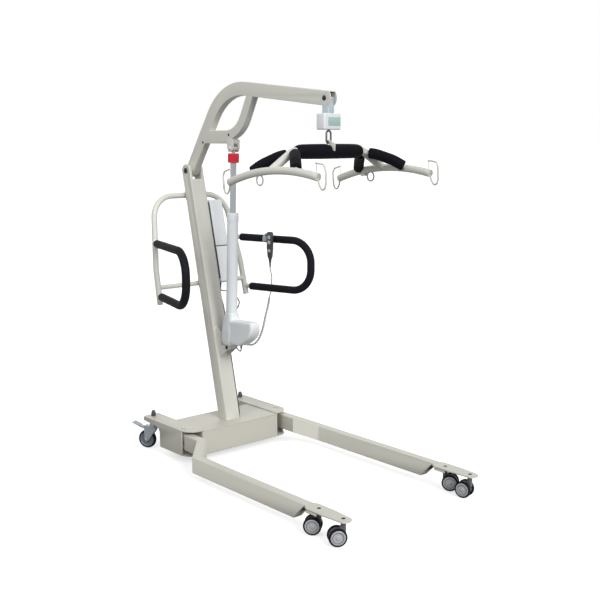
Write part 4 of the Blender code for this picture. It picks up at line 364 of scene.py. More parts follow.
def finish_of(name, slot, colour, other, rough, grain, bump, spread=0.12, metal=0.0, coat=0.0,
              drift_scale=4.0, drift=0.5, dust=0.0, dust_colour=(0.3, 0.29, 0.27), weave=0.0, sheen=0.0,
              gloss=0.5):
    """A procedural material: drifting colour, floor dust, grain and, for fabric, a weave. The slot is not
    used.
    """
    material = bpy.data.materials.new(name)
    material.use_nodes = True
    tree = material.node_tree
    place = node(tree, "ShaderNodeTexCoord").outputs["Object"]
    tone = node(tree, "ShaderNodeGroup", _node_tree=DRIFT, Vector=place, Scale=drift_scale, Amount=drift,
                Colour=(*colour, 1.0), Other=(*other, 1.0)).outputs["Colour"]
    grains = node(tree, "ShaderNodeGroup", _node_tree=GRAIN, Vector=place, Scale=grain, Roughness=rough,
                  Spread=spread).outputs
    height = grains["Height"]
    if weave:
        cloth = node(tree, "ShaderNodeGroup", _node_tree=WEAVE, Vector=place, Pitch=weave)
        height = sums(tree, "ADD", cloth.outputs["Height"], height)
    if dust:
        film = node(tree, "ShaderNodeGroup", _node_tree=DUST, Vector=place, Height=dust)
        tone = node(tree, "ShaderNodeMix", _data_type="RGBA", Factor=film.outputs["Mask"], A=tone,
                    B=(*dust_colour, 1.0)).outputs["Result"]
    relief = node(tree, "ShaderNodeBump", Strength=bump, Distance=0.0006, Height=height)
    shader = tree.nodes["Principled BSDF"]
    for label, value in (("Base Color", tone), ("Roughness", grains["Roughness"]), ("Metallic", metal),
                         ("Coat Weight", coat), ("Sheen Weight", sheen), ("Specular IOR Level", gloss),
                         ("Normal", relief.outputs["Normal"])):
        feed(tree, shader.inputs[label], value)
    return material


# %% The finishes of this lift: two colours, then roughness, grain scale and bump
LOW_COAT = dict(coat=0.12, drift=0.6, dust=0.09, dust_colour=(0.5, 0.49, 0.44))
PAINT = finish_of("eggshell_powder_coat", "cream_paint", (0.72, 0.715, 0.655), (0.68, 0.675, 0.61),
                  0.42, 900, 0.06, coat=0.15, drift=0.6)
# The base and the legs wear darker copies of the same cream paint: painted shade for the dimmer light near
# the floor, on top of the floor dust.
LOW_SHADED_PAINT = finish_of("eggshell_powder_coat_low_painted_shade", "cream_paint", (0.62, 0.605, 0.53), (0.58, 0.565, 0.49),
                      0.44, 900, 0.06, **LOW_COAT)
LEG_SHADED_PAINT = finish_of("eggshell_powder_coat_legs_painted_shade", "cream_paint", (0.66, 0.65, 0.575), (0.62, 0.605, 0.53),
                      0.44, 900, 0.06, **LOW_COAT)
CASE = finish_of("cool_white_moulding", "white_plastic", (0.87, 0.905, 0.925), (0.83, 0.87, 0.895),
                 0.42, 1400, 0.1, drift=0.4)
PALE = finish_of("pale_grey_moulding", "grey_plastic", (0.52, 0.56, 0.59), (0.47, 0.51, 0.54),
                 0.45, 1200, 0.1)
DARK = finish_of("charcoal_moulding", "dark_plastic", (0.045, 0.045, 0.052), (0.065, 0.065, 0.07),
                 0.48, 1200, 0.12)
FOAM = finish_of("foam_sleeve", "black_foam", (0.006, 0.007, 0.01), (0.011, 0.012, 0.016), 0.66, 2200, 0.3,
                 spread=0.2, drift_scale=9.0, gloss=0.14)
COVER = finish_of("black_coated_fabric", "black_foam", (0.005, 0.005, 0.008), (0.009, 0.009, 0.014),
                  0.62, 900, 0.3, spread=0.2, weave=0.0017, drift_scale=10.0, sheen=0.008, gloss=0.06)
RED = finish_of("red_moulding", "red_plastic", (0.7, 0.02, 0.038), (0.6, 0.014, 0.028), 0.35, 900, 0.06,
                coat=0.2)
STEEL = finish_of("zinc_plated_steel", "bright_steel", (0.6, 0.62, 0.64), (0.5, 0.52, 0.54),
                  0.28, 260, 0.04, spread=0.22, metal=1.0, drift_scale=14.0)
ZINC = finish_of("dull_zinc_plate", "bright_steel", (0.36, 0.39, 0.42), (0.28, 0.31, 0.34),
                 0.4, 260, 0.05, spread=0.25, metal=0.85, drift_scale=20.0)
CHROME = finish_of("ground_steel_rod", "bright_steel", (0.6, 0.63, 0.65), (0.52, 0.55, 0.57),
                   0.14, 1800, 0.02, spread=0.08, metal=1.0)
BLACKED = finish_of("blackened_steel", "black_steel", (0.02, 0.02, 0.022), (0.035, 0.034, 0.034),
                    0.38, 500, 0.06, metal=0.6)
TYRE = finish_of("tyre_rubber", "tyre_rubber", (0.006, 0.007, 0.009), (0.011, 0.012, 0.014), 0.6, 700, 0.25,
                 dust=0.01, dust_colour=(0.05, 0.048, 0.046), gloss=0.15)
HUB = finish_of("silver_hub", "grey_plastic", (0.55, 0.56, 0.59), (0.44, 0.45, 0.48), 0.36, 900, 0.06,
                coat=0.1, dust=0.04)
REAR_HUB = finish_of("blue_grey_hub", "grey_plastic", (0.15, 0.185, 0.22), (0.12, 0.15, 0.18),
                     0.4, 900, 0.06, coat=0.1, dust=0.04)
FORK_GREY = finish_of("mid_grey_moulding", "grey_plastic", (0.17, 0.175, 0.18), (0.13, 0.135, 0.14),
                      0.42, 900, 0.08, coat=0.1)
PLATED = finish_of("bright_blue_plating", "bright_steel", (0.66, 0.76, 0.82), (0.56, 0.66, 0.73),
                   0.3, 300, 0.03, spread=0.15, metal=0.75, drift_scale=20.0)
HOOK_STEEL = finish_of("dark_plated_steel", "bright_steel", (0.16, 0.15, 0.17), (0.24, 0.23, 0.25),
                       0.3, 300, 0.05, spread=0.2, metal=1.0, drift_scale=30.0)
CORD = finish_of("cord_jacket", "cord_grey", (0.24, 0.255, 0.26), (0.2, 0.215, 0.22), 0.45, 1500, 0.08)
CABLE = finish_of("cable_jacket", "dark_plastic", (0.055, 0.058, 0.062), (0.075, 0.078, 0.082),
                  0.45, 1500, 0.08)
LCD = finish_of("display_window", "display_green", (0.42, 0.63, 0.57), (0.34, 0.55, 0.48), 0.12, 800, 0.0,
                coat=1.0, drift_scale=30.0)
print(f"{len(bpy.data.materials)} materials, {len(bpy.data.node_groups)} groups")

# %% [markdown]
# Helpers for the work at the bench
#
# Blender's operators act on whatever is selected, so a helper first puts everything down and picks up
# one piece. The last helper does what every finished piece needs: it settles the piece's place into
# its mesh, smooths it by angle, gives it its finish, lets it ride on the moving group that carries it,
# and hides the solids of the imported model that it stands for.

# %% Picking things up
def put_all_down():
    if bpy.context.object and bpy.context.object.mode != "OBJECT":
        bpy.ops.object.mode_set(mode="OBJECT")
    for thing in bpy.context.view_layer.objects:
        if thing.select_get():
            thing.select_set(False)


def pick_up(piece):
    put_all_down()
    piece.select_set(True)
    bpy.context.view_layer.objects.active = piece
    return piece


def open_mesh(piece):
    """Opens a piece's mesh with all of it selected."""
    pick_up(piece)
    bpy.ops.object.mode_set(mode="EDIT")
    bpy.ops.mesh.select_mode(type="VERT")
    bpy.ops.mesh.select_all(action="SELECT")


def close_mesh(outward=True):
    """Turns all faces outward, unless told not to, and closes the mesh."""
    if outward:
        bpy.ops.mesh.select_all(action="SELECT")
        bpy.ops.mesh.normals_make_consistent(inside=False)
    bpy.ops.object.mode_set(mode="OBJECT")


def added():
    """The primitive that an operator has just made."""
    return bpy.context.object


def settle(piece):
    pick_up(piece)
    bpy.ops.object.transform_apply(location=True, rotation=True, scale=True)
    return piece


def placed(piece, place):
    """Moves a piece made at the origin to its place, and settles it."""
    piece.matrix_world = place @ piece.matrix_world
    return settle(piece)


def modified(piece, kind, **values):
    """Adds a modifier, sets it up and applies it."""
    pick_up(piece)
    made = piece.modifiers.new(kind.lower(), kind)
    for key, value in values.items():
        setattr(made, key, value)
    bpy.ops.object.modifier_apply(modifier=made.name)
    return piece


def rounded(piece, width, segments=3, angle=35, clamp=True):
    """Rounds every edge sharper than the angle."""
    return modified(piece, "BEVEL", width=width, segments=segments, limit_method="ANGLE",
                    angle_limit=math.radians(angle), use_clamp_overlap=clamp)


def rounded_where(piece, width, segments, wanted, clamp=True):
    """Rounds the edges that pass the test, and no others."""
    piece.data.attributes.new("bevel_weight_edge", "FLOAT", "EDGE")
    form = bmesh.new()
    form.from_mesh(piece.data)
    layer = form.edges.layers.float["bevel_weight_edge"]
    for edge in form.edges:
        edge[layer] = 1.0 if wanted(edge) else 0.0
    form.to_mesh(piece.data)
    form.free()
    return modified(piece, "BEVEL", width=width, segments=segments, limit_method="WEIGHT",
                    use_clamp_overlap=clamp)


def is_upright(edge):
    return abs((edge.verts[1].co - edge.verts[0].co).normalized().z) > 0.85


def carved(piece, cutter):
    """Cuts one form out of another."""
    modified(piece, "BOOLEAN", operation="DIFFERENCE", object=cutter, solver="EXACT")
    bpy.data.objects.remove(cutter)


def joined(pieces):
    """One object out of several."""
    pick_up(pieces[0])
    for piece in pieces[1:]:
        piece.select_set(True)
    bpy.ops.object.join()
    return bpy.context.object


COUNT = {"pieces": 0, "triangles": 0}


def done(piece, name, body, finish, *stands_for, smooth=35):
    """Names and dresses a finished piece and lets it ride on its body."""
    settle(piece)
    piece.name = name
    piece.data.name = name
    bpy.ops.object.shade_smooth_by_angle(angle=math.radians(smooth))
    piece.data.materials.clear()
    piece.data.materials.append(finish)
    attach(piece, body)
    if stands_for:
        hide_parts(*stands_for)
    COUNT["pieces"] += 1
    COUNT["triangles"] += sum(len(face.vertices) - 2 for face in piece.data.polygons)
    return piece


# %% Turned work: a profile spun about an axis
def mirrored(upper):
    """A whole profile from the upper half of an even one."""
    return upper + [(r, -h) for r, h in reversed(upper)]


def turned(profile, place=Matrix.Identity(4), steps=48):
    """Spins a closed profile of (radius, height) pairs round the local Z axis."""
    put_all_down()
    bpy.ops.mesh.primitive_circle_add(vertices=len(profile), radius=1.0, fill_type="NOTHING")
    piece = added()
    for vertex, (radius, height) in zip(piece.data.vertices, profile):
        vertex.co = (radius, 0.0, height)
    open_mesh(piece)
    bpy.ops.mesh.spin(steps=steps, angle=2 * math.pi, center=(0, 0, 0), axis=(0, 0, 1))
    bpy.ops.mesh.select_all(action="SELECT")
    bpy.ops.mesh.remove_doubles(threshold=0.00001)
    bpy.ops.mesh.delete_loose()
    close_mesh()
    return placed(piece, place)


# %% Bent tube: straight runs are extruded, bends are spun
def bent_tube(corners, bends, radius, sides=24, step=7.0, closed=False):
    """A round tube through the corners, bent to the given radii."""
    corners = [Vector(c) for c in corners]
    if closed:
        corners = [(corners[0] + corners[-1]) / 2] + corners + [(corners[0] + corners[-1]) / 2]
    way = (corners[1] - corners[0]).normalized()
    put_all_down()
    bpy.ops.mesh.primitive_circle_add(
        vertices=sides, radius=radius, fill_type="NGON", location=corners[0],
        rotation=way.to_track_quat("Z", "Y").to_euler())
    piece = settle(added())
    open_mesh(piece)
    here = corners[0]
    for i, corner in enumerate(corners[1:]):
        last = i == len(corners) - 2
        onward = None if last else (corners[i + 2] - corner).normalized()
        bent = 0.0 if last else way.angle(onward)
        bend = 0.0 if last else bends[i]
        reach = bend * math.tan(bent / 2)
        stop = corner - way * reach
        if (stop - here).length > 1e-6:
            bpy.ops.mesh.extrude_region_move(TRANSFORM_OT_translate={"value": stop - here})
        if not last:
            axis = way.cross(onward).normalized()
            bpy.ops.mesh.spin(steps=max(2, round(math.degrees(bent) / step)), angle=-bent,
                              center=stop + axis.cross(way) * bend, axis=axis)
            here, way = corner + onward * reach, onward
    if closed:          # the two end caps meet inside the tube: they go, and the ends are welded
        bpy.ops.mesh.select_mode(type="FACE")
        bpy.ops.mesh.select_all(action="DESELECT")
        form = bmesh.from_edit_mesh(piece.data)
        for face in form.faces:
            face.select_set((face.calc_center_median() - corners[0]).length < radius * 0.2)
        bmesh.update_edit_mesh(piece.data)
        bpy.ops.mesh.delete(type="FACE")
        bpy.ops.mesh.select_all(action="SELECT")
        bpy.ops.mesh.remove_doubles(threshold=radius * 0.02)
    close_mesh()
    return piece


# %% Plates and blocks
def plate(outline, thickness, place):
    """A flat piece: the outline lies in local XY, half the thickness on each side."""
    put_all_down()
    bpy.ops.mesh.primitive_circle_add(vertices=len(outline), radius=1.0, fill_type="NGON")
    piece = added()
    for vertex, (u, v) in zip(piece.data.vertices, outline):
        vertex.co = (u, v, -thickness / 2)
    open_mesh(piece)
    bpy.ops.mesh.extrude_region_move(TRANSFORM_OT_translate={"value": (0, 0, thickness)})
    close_mesh()
    return placed(piece, place)


def box_piece(low, high, place=Matrix.Identity(4)):
    """A block between two corners, to be rounded or cut further."""
    low, high = Vector(low), Vector(high)
    put_all_down()
    bpy.ops.mesh.primitive_cube_add(size=1.0, location=(low + high) / 2, scale=high - low)
    return placed(settle(added()), place)


def tapering_box(sizes):
    """A box whose section changes with height: sizes are (height, depth, width)."""
    height, depth, width = sizes[0]
    put_all_down()
    bpy.ops.mesh.primitive_plane_add(size=1.0, location=(0, 0, height))
    piece = added()
    piece.scale = (depth, width, 1.0)
    open_mesh(settle(piece))
    for level, new_depth, new_width in sizes[1:]:
        bpy.ops.mesh.extrude_region_move(TRANSFORM_OT_translate={"value": (0, 0, level - height)})
        bpy.ops.transform.resize(value=(new_depth / depth, new_width / width, 1.0))
        height, depth, width = level, new_depth, new_width
    close_mesh()
    return settle(piece)


# %% Refined copy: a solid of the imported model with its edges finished
def refined(source, big, small=0.0006, long_edge=0.06, segments=4, choose=None):
    """Copies a solid, joins its flat faces, rounds its long edges wide and the rest a little."""
    piece = bpy.data.objects.new(source + "_copy", NODES[source].data.copy())
    bpy.context.scene.collection.objects.link(piece)
    open_mesh(piece)
    bpy.ops.mesh.remove_doubles(threshold=0.00002)
    bpy.ops.mesh.dissolve_limited(angle_limit=math.radians(1.5))
    close_mesh(outward=False)

    def wanted(edge):
        if len(edge.link_faces) != 2 or not edge.is_convex or edge.calc_face_angle(0.0) <= math.radians(50):
            return False
        return choose(edge) if choose else edge.calc_length() > long_edge

    if big:
        rounded_where(piece, big, segments, wanted, clamp=False)
    if small:
        rounded(piece, small, 2, 40)
    return piece


# %% [markdown]
# The base
#
# The base is a welded steel box with a flat deck, two side plates with rounded front corners, and an
# arm behind each side plate that carries a rear caster. Sheet steel that has been folded and blasted
# has soft edges, and these catch the light, so each solid is taken over with its edges rounded.

# %% Base plates
# The base plates wear the darker cream paint: painted shade near the floor.
for name, width in (("base_box", 0.002), ("deck_plate", 0.0012), ("side_plate_left", 0.0018),
                    ("side_plate_right", 0.0018)):
    done(refined(name, width, long_edge=0.03), name + "_painted", "base", LOW_SHADED_PAINT, name)
done(refined("spread_yoke", 0.001, 0), "yoke_bar", "yoke", STEEL, "spread_yoke")
done(refined("leg_actuator_body", 0.002, 0), "leg_motor", "base", DARK, "leg_actuator_body")

# %% Leg pivot bolts: dome heads above the side plates
leg_bolt = [(0, 0.187), (0.004, 0.1868), (0.008, 0.1858), (0.0105, 0.1838), (0.011, 0.1815),
            (0.0078, 0.1813), (0.0078, 0.0455), (0.0115, 0.0455), (0.0115, 0.0385), (0.0105, 0.037),
            (0, 0.037)]
for side, word in SIDES:
    done(turned(leg_bolt, Matrix.Translation(at(-0.0145, side * 0.31, 0.0)), 32), f"leg_bolt_{word}",
         "base", STEEL, f"leg_pivot_bolt_{word}")

# %% [markdown]
# The legs
#
# Each leg is one rectangular tube: a short stub that swings on the pivot, a slanting piece down and
# outwards, and the long low run, cut off at a slant and left open at its front. A flat plate with a
# rounded nose is welded in and carries the two casters. Rolled tube has a corner radius of about its
# wall thickness, so its long edges get 4 mm.

# %% Legs
# The legs wear the darker cream paint: painted shade near the floor.
for side, word in SIDES:
    done(refined(f"leg_{word}", 0.0038, long_edge=0.045), f"leg_{word}_tube", f"{word}_leg", LEG_SHADED_PAINT,
         f"leg_{word}")

# %% [markdown]
# The mast and the boom
#
# The mast is a box tube with a rounded, slotted head that holds the boom's pivot. The boom is a flat
# sided loop: a straight arm, a wide bend, the long reach, and a brace that closes the loop over the
# actuator's upper pin. The loop's outline edges are rounded by 3 mm, as on a bent and ground weldment.

# %% Mast and boom
def on_loop_edge(edge):
    """Outline edges of the boom's flat sides, away from the ears and bolts of the cross piece."""
    middle = (edge.verts[0].co + edge.verts[1].co) / 2
    near_ears = abs(middle.x - (UPPER_PIN.x + ORIGIN_SHIFT.x)) < 0.03 and middle.z < 1.66
    return abs(abs(middle.y) - 0.02) < 0.0002 and not near_ears


done(refined("mast", 0.0035, 0.0007, 0.12), "mast_tube", "base", PAINT, "mast")
done(refined("boom", 0.0028, 0.0005, choose=on_loop_edge), "boom_loop", "boom_arm", PAINT, "boom")


# %% Pivot bolts and the two small bolts on the boom
def cross_bolt(half_length, radius, head_radius, head_height):
    """Profile of a bolt across the lift, with a dome on both ends."""
    dome = [(head_radius * r, half_length - head_height * h) for r, h in ((0.5, 0.06), (0.85, 0.3), (1, 0.7))]
    inner = half_length - head_height
    return mirrored([(0, half_length)] + dome + [(head_radius, inner), (radius, inner)])


for name, spot, sizes, body, solid in (
        ("mast_head_bolt", MAST_HEAD, (0.0503, 0.0098, 0.015, 0.005), "base", "boom_pivot_bolt"),
        ("actuator_foot_pin", LOWER_PIN, (0.0348, 0.0058, 0.01, 0.005), "base", "actuator_lower_pin"),
        ("tip_pin", TIP_PIN, (0.0243, 0.0078, 0.012, 0.004), "tip", "tip_bolt")):
    place = Matrix.Translation(spot + ORIGIN_SHIFT) @ SIDEWAYS
    done(turned(cross_bolt(*sizes), place, 32), name, body, BLACKED, solid)
boom_dome = [(0, 0.0225), (0.0035, 0.0223), (0.0055, 0.0214), (0.0062, 0.02), (0.0062, 0.019), (0, 0.019)]
for number, (x, z) in enumerate(((0.02, 1.676), (-0.205, 1.637))):
    for side, word in SIDES:
        place = Matrix.Translation(at(x, 0, z)) @ turn(-90 * side, "X")
        done(turned(boom_dome, place, 24), f"boom_bolt_{number}_{word}", "boom_arm", BLACKED)

# %% [markdown]
# The lift actuator
#
# A white moulded housing holds the gearbox, with the motor in a rounded box that sticks out forward.
# From it rises a plain tube, out of which the steel rod runs up to the boom, with a red collar for
# lowering by hand. The housing starts as two forms, a tapering box and a rounded outline extruded
# sideways. They are remeshed into one skin and smoothed, which leaves the soft hollow between them
# that a moulding has. The tube, rod and collar are turned.

# %% Motor housing
gearbox = tapering_box([(0.012, 0.078, 0.074), (0.034, 0.086, 0.082), (0.093, 0.086, 0.082),
                        (0.192, 0.062, 0.058)])
gearbox = rounded(rounded_where(gearbox, 0.02, 7, is_upright), 0.0055, 4, 30)
nose = [(0.0, 0.026), (0.1, 0.026), (0.117, 0.0315), (0.135, 0.0435), (0.155, 0.056), (0.173, 0.07),
        (0.188, 0.086), (0.199, 0.104), (0.2052, 0.123), (0.2055, 0.14), (0.2025, 0.152),
        (0.196, 0.1605), (0.186, 0.1655), (0.0, 0.148)]
motor = rounded(plate(nose, 0.078, turn(90, "X")), 0.012, 4, 50, clamp=False)
for spot in settle(motor).data.vertices:        # narrower towards the front and the top
    forward, upward = max(spot.co.x - 0.04, 0), max(spot.co.z - 0.093, 0)
    spot.co.y *= (1 - 0.1 * forward / 0.166) * (1 - 0.29 * upward / 0.099)
skin = joined([gearbox, motor])
skin = modified(skin, "REMESH", mode="VOXEL", voxel_size=0.0026, use_smooth_shade=True)
skin = modified(skin, "SMOOTH", factor=0.5, iterations=26)
foot_lug = turned(mirrored([(0, 0.0225), (0.0125, 0.0225)]), SIDEWAYS, 32)
neck = box_piece((-0.012, -0.0225, 0.0), (0.012, 0.0225, 0.022))
housing = placed(joined([skin, foot_lug, neck]), ACTUATOR_PLACE)
done(housing, "actuator_housing", "actuator", CASE, "motor_housing", smooth=40)

# %% Cable boot of the housing
boot = [(0.0034, -0.019), (0.0042, -0.019), (0.0048, -0.015), (0.0046, -0.0142), (0.0054, -0.0105),
        (0.0052, -0.0097), (0.0062, -0.005), (0.0066, 0.0), (0.0066, 0.006), (0.0034, 0.006)]
done(turned(boot, Matrix.Translation(motor_under), 24), "motor_cable_boot", "actuator", DARK)

# %% Tube, rod and collar
tube_profile = [(0.0166, 0.7095), (0.027, 0.71), (0.0296, 0.709), (0.0304, 0.7065), (0.0304, 0.668),
                (0.0298, 0.665), (0.029, 0.6645), (0.029, 0.1925), (0.0166, 0.1925)]
done(turned(tube_profile, ACTUATOR_PLACE, 64), "actuator_sleeve", "actuator", CASE, "actuator_tube")
ROD_TOP = ACTUATOR_LINE.length
COLLAR_LOW = ROD_TOP - 0.02475 - 0.048
rod_profile = [(0, ROD_TOP - 0.008), (0.0098, ROD_TOP - 0.008), (0.0098, COLLAR_LOW - 0.001),
               (0.015, COLLAR_LOW - 0.0006), (0.016, COLLAR_LOW - 0.002), (0.016, 0.3005), (0, 0.3005)]
eye = turned(mirrored([(0.0062, 0.0155), (0.013, 0.0155), (0.0138, 0.0147)]),
             shift(0, 0, ROD_TOP) @ SIDEWAYS, 40)
rod = placed(joined([turned(rod_profile), eye]), ACTUATOR_PLACE)
done(rod, "lift_rod", "rod", CHROME, "actuator_rod")
collar = [(0.0106, 0.0004), (0.0268, 0.0004), (0.029, 0.003)]
for low in (0.008 + i * 0.0056 for i in range(6)):          # six ridges for the fingers
    collar += [(0.0286, low), (0.0299, low + 0.0012), (0.0299, low + 0.0032), (0.0286, low + 0.0044)]
collar += [(0.029, 0.044), (0.0268, 0.0476), (0.0106, 0.0476)]
collar = [(radius, COLLAR_LOW + height) for radius, height in collar]
done(turned(collar, ACTUATOR_PLACE), "red_release_collar", "collar", RED, "release_collar")

# %% [markdown]
# The handle frame
#
# Behind the mast stands a hoop of round tube, held by two saddles, with a cross tube low down. A push
# handle leaves each side of it: a thinner tube bent into a D that leans outwards, in a black foam
# sleeve. Real tube is bent on a former, so here too a circle is pushed along the straights and spun
# round the bends. The sleeves are the same bend with a larger circle and rounded ends.

# %% Hoop, cross tube and saddles
HOOP_TOP, CROSS_LEVEL = -0.1216, -0.603         # along the mast
hoop_half = [(0.285, -0.694), (0.279, -0.505), (0.2284, HOOP_TOP)]
hoop_line = hoop_half + [(-y, h) for y, h in reversed(hoop_half)]
hoop = bent_tube([MAST_PLACE @ Vector((FRAME_DEPTH, y, h)) for y, h in hoop_line],
                 [0.35, 0.13, 0.13, 0.35], HOOP_TUBE, 28, 5.0)
hoop = rounded(hoop, 0.0012, 2, 60)
cross_ends = [MAST_PLACE @ Vector((FRAME_DEPTH, y, CROSS_LEVEL)) for y in (-0.28, 0.28)]
frame_pieces = [hoop, bent_tube(cross_ends, [], HANDLE_TUBE)]
for height, radius in ((HOOP_TOP, HOOP_TUBE), (CROSS_LEVEL, HANDLE_TUBE)):
    saddle = box_piece((FRAME_DEPTH + 0.004, -0.03, height - radius - 0.012),
                       (-0.0352, 0.03, height + radius + 0.012), MAST_PLACE)
    frame_pieces.append(rounded(saddle, 0.0025))


def handle_corners(side, low_start, high_start):
    """The four corners of a push handle, from its lower to its upper end."""
    start, way = handle_root(side)
    up = Vector((0, 0, HANDLE_HIGH_Z - HANDLE_LOW_Z))
    far = start + way * HANDLE_REACH
    return [start + way * low_start, far, far + up, start + up + way * high_start]


for side, word in SIDES:
    start, way = handle_root(side)
    upper = (MAST_PLACE @ Vector((FRAME_DEPTH, 0, frame_height(HANDLE_HIGH_Z)))).x
    frame_pieces.append(bent_tube(handle_corners(side, 0.0, (upper - start.x) / way.x), [HANDLE_BEND] * 2,
                                  HANDLE_TUBE, 20))
done(joined(frame_pieces), "handle_frame_tubes", "base", PAINT, "handle_frame")

# %% Foam sleeves
for side, word in SIDES:
    sleeve = bent_tube(handle_corners(side, 0.0428, -0.0217), [HANDLE_BEND] * 2, GRIP, 32, 5.0)
    sleeve = rounded(sleeve, 0.0045, 4, 60)
    sleeve = done(sleeve, f"foam_sleeve_{word}", "base", FOAM, f"grip_{word}", smooth=50)

# %% [markdown]
# Control box, battery and handset
#
# The control box is a white moulding clamped to the mast's left side by rails, and the battery
# stands on it and fills the same outline, with a thin dark joint between them. The rails are dark and
# reach forward almost to the box's front: painted shade in the gap between the box and the mast. The
# handset is a slim dark moulding with two rocker keys, a pale key panel, a tapering cord gland, and a
# pale hook that hangs it on the upper arm of the left handle.

# %% Boxes
BOX_BACK, BOX_FRONT, BOX_INNER, BOX_OUTER = -0.047, 0.035, 0.056, 0.14
BATTERY_LOW, BATTERY_TOP, BOX_ROUNDING = -0.42, -0.168, 0.0075
JOINT_INSET = 0.0006
case = box_piece((BOX_BACK, BOX_INNER, BOX_LOW), (BOX_FRONT, BOX_OUTER, BATTERY_LOW - 0.0005))
case = rounded(case, BOX_ROUNDING, 5)
done(placed(case, MAST_PLACE), "control_box_case", "base", CASE, "control_box")
# The rails are real, but their dark colour and their reach forward almost to the box's front are painted
# shade of the gap between the box and the mast.
shade_rails = [rounded(box_piece((-0.03, 0.0453, low), (0.0325, outer, high)), 0.001, 2)
         for low, high, outer in ((-0.595, -0.43, 0.058), (-0.43, -0.183, 0.0555))]
done(placed(joined(shade_rails), MAST_PLACE), "control_box_shade_rails", "base", DARK, "control_box")
battery = box_piece((BOX_BACK, BOX_INNER, BATTERY_LOW), (BOX_FRONT, BOX_OUTER, BATTERY_TOP))
battery = rounded(battery, BOX_ROUNDING, 5)
done(placed(battery, MAST_PLACE), "battery_case", "base", CASE, "battery_pack")
joint_gap = box_piece((BOX_BACK + JOINT_INSET, BOX_INNER + JOINT_INSET, BATTERY_LOW - 0.0015),
                      (BOX_FRONT - JOINT_INSET, BOX_OUTER - JOINT_INSET, BATTERY_LOW + 0.0012))
joint_gap = rounded_where(joint_gap, 0.0068, 4, is_upright)
done(placed(joint_gap, MAST_PLACE), "battery_joint", "base", DARK)
for number, (depth, y) in enumerate(BOX_EXITS):
    bore = (0.003, 0.0034, 0.0034)[number]
    relief = [(bore + radius, BOX_LOW + height) for radius, height in (
        (0, -0.0215), (0.0008, -0.0215), (0.003, -0.004), (0.0045, -0.0035), (0.0045, 0.001), (0, 0.001))]
    done(turned(relief, MAST_PLACE @ shift(depth, y, 0), 20), f"box_cord_relief_{number}", "base", DARK)

# %% Handset
handset = tapering_box([(1.014, 0.022, 0.0185), (1.02, 0.0245, 0.0195), (1.064, 0.0331, 0.0215),
                        (1.127, 0.036, 0.022), (1.15, 0.0335, 0.019), (1.157, 0.0265, 0.0145)])
gland = turned([(0, 1.018), (0.0095, 1.018), (0.0095, 1.01), (0.0086, 1.0085), (0.0086, 1.005),
                (0.008, 1.0035), (0.008, 1.0), (0.0072, 0.9985), (0.0068, 0.993), (0.006, 0.9915),
                (0.0056, 0.985), (0.0049, 0.9835), (0.0044, 0.974), (0.0037, 0.9625), (0, 0.9625)], steps=28)
handset = joined([rounded(handset, 0.0045, 4, 30), gland])
done(placed(handset, HANDSET_PLACE), "handset_case", "base", DARK, "handset_body")
HANGER_WIRE, HANGER_BEND = 0.005, 0.0265        # it rests on the foam sleeve
hook_z = HANDLE_HIGH_Z + GRIP + SEAT_GAP + HANGER_WIRE - HANGER_BEND
hanger_line = [Vector((0.05, -HANDSET_ASIDE + HANGER_BEND * math.cos(math.radians(a)),
                       hook_z + HANGER_BEND * math.sin(math.radians(a)))) for a in range(-30, 213, 22)]
hanger = bent_tube(hanger_line, [0.02] * (len(hanger_line) - 2), 0.0049, 16)
strap = rounded(box_piece((0.012, -0.012, 1.103), (0.053, -0.005, 1.131)), 0.002)
done(placed(joined([hanger, strap]), HANDSET_PLACE), "handset_hook", "base", PALE)
panel = rounded(box_piece((-0.0105, -0.01, 1.046), (0.0105, 0.01085, 1.064)), 0.002)
done(placed(panel, HANDSET_PLACE), "handset_key_panel", "base", PALE)
for rocker, level in (("boom_rocker", 1.128), ("leg_rocker", 1.1)):
    key = rounded(box_piece((-0.0089, 0.008, level - 0.0099), (0.0089, 0.0124, level + 0.0099)), 0.0016)
    done(placed(key, HANDSET_PLACE), f"{rocker}_key", rocker, PALE, f"handset_{rocker}")

# %% Dressing the cords
for piece, finish, solid, length, exit_point, stiffness, lay in (
        (handset_cord, CORD, "handset_cord", handset_length, handset_tip, "limp", "coiled"),
        (motor_cable, CABLE, "actuator_cable", motor_length, motor_points[0], "medium", "hanging"),
        (base_cable, CABLE, "leg_cable", base_length, base_points[0], "medium", "hanging")):
    piece.data.materials.append(finish)
    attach(piece, "base")
    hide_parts(solid)
    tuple(exit_point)

# %% [markdown]
# The casters
#
# The front casters are small twin wheel casters: two wheels on one axle with the fork between them.
# Each wheel is a black tyre round a dished silvery disc with a raised rim and a stepped middle. The
# rear ones are single wheels in a steel fork, with a brake pedal and a black domed cap over the stem.
# One front wheel is made and copied, and each copy gets a mesh of its own.

# %% Front wheels
FRONT_R, FRONT_W = 0.04, 0.0095                 # radius and half width
TYRE_IN = FRONT_R * 0.785


def tyre_profile(rows, radius, half_width):
    """An even profile from rows that are parts of the radius and of half the width."""
    return mirrored([(radius * r, half_width * w) for r, w in rows])


model_tyre = turned(tyre_profile([(0.785, 0.82), (0.82, 0.97), (0.885, 0.96), (0.945, 0.8), (0.982, 0.52),
                                  (0.9985, 0.18)], FRONT_R, FRONT_W), steps=64)
hub_rows = [(0, 0.95), (0.0072, 0.95), (0.0082, 0.86), (0.0088, 0.66), (0.0142, 0.56), (0.019, 0.6),
            (0.021, 0.68), (0.0246, 0.76), (0.0254, 0.97), (0.0288, 0.99), (0.03, 0.9),
            (TYRE_IN + 0.0004, 0.84), (TYRE_IN + 0.0004, -0.84), (0.029, -0.9), (0.01, -0.86),
            (0.006, -0.95), (0, -0.95)]
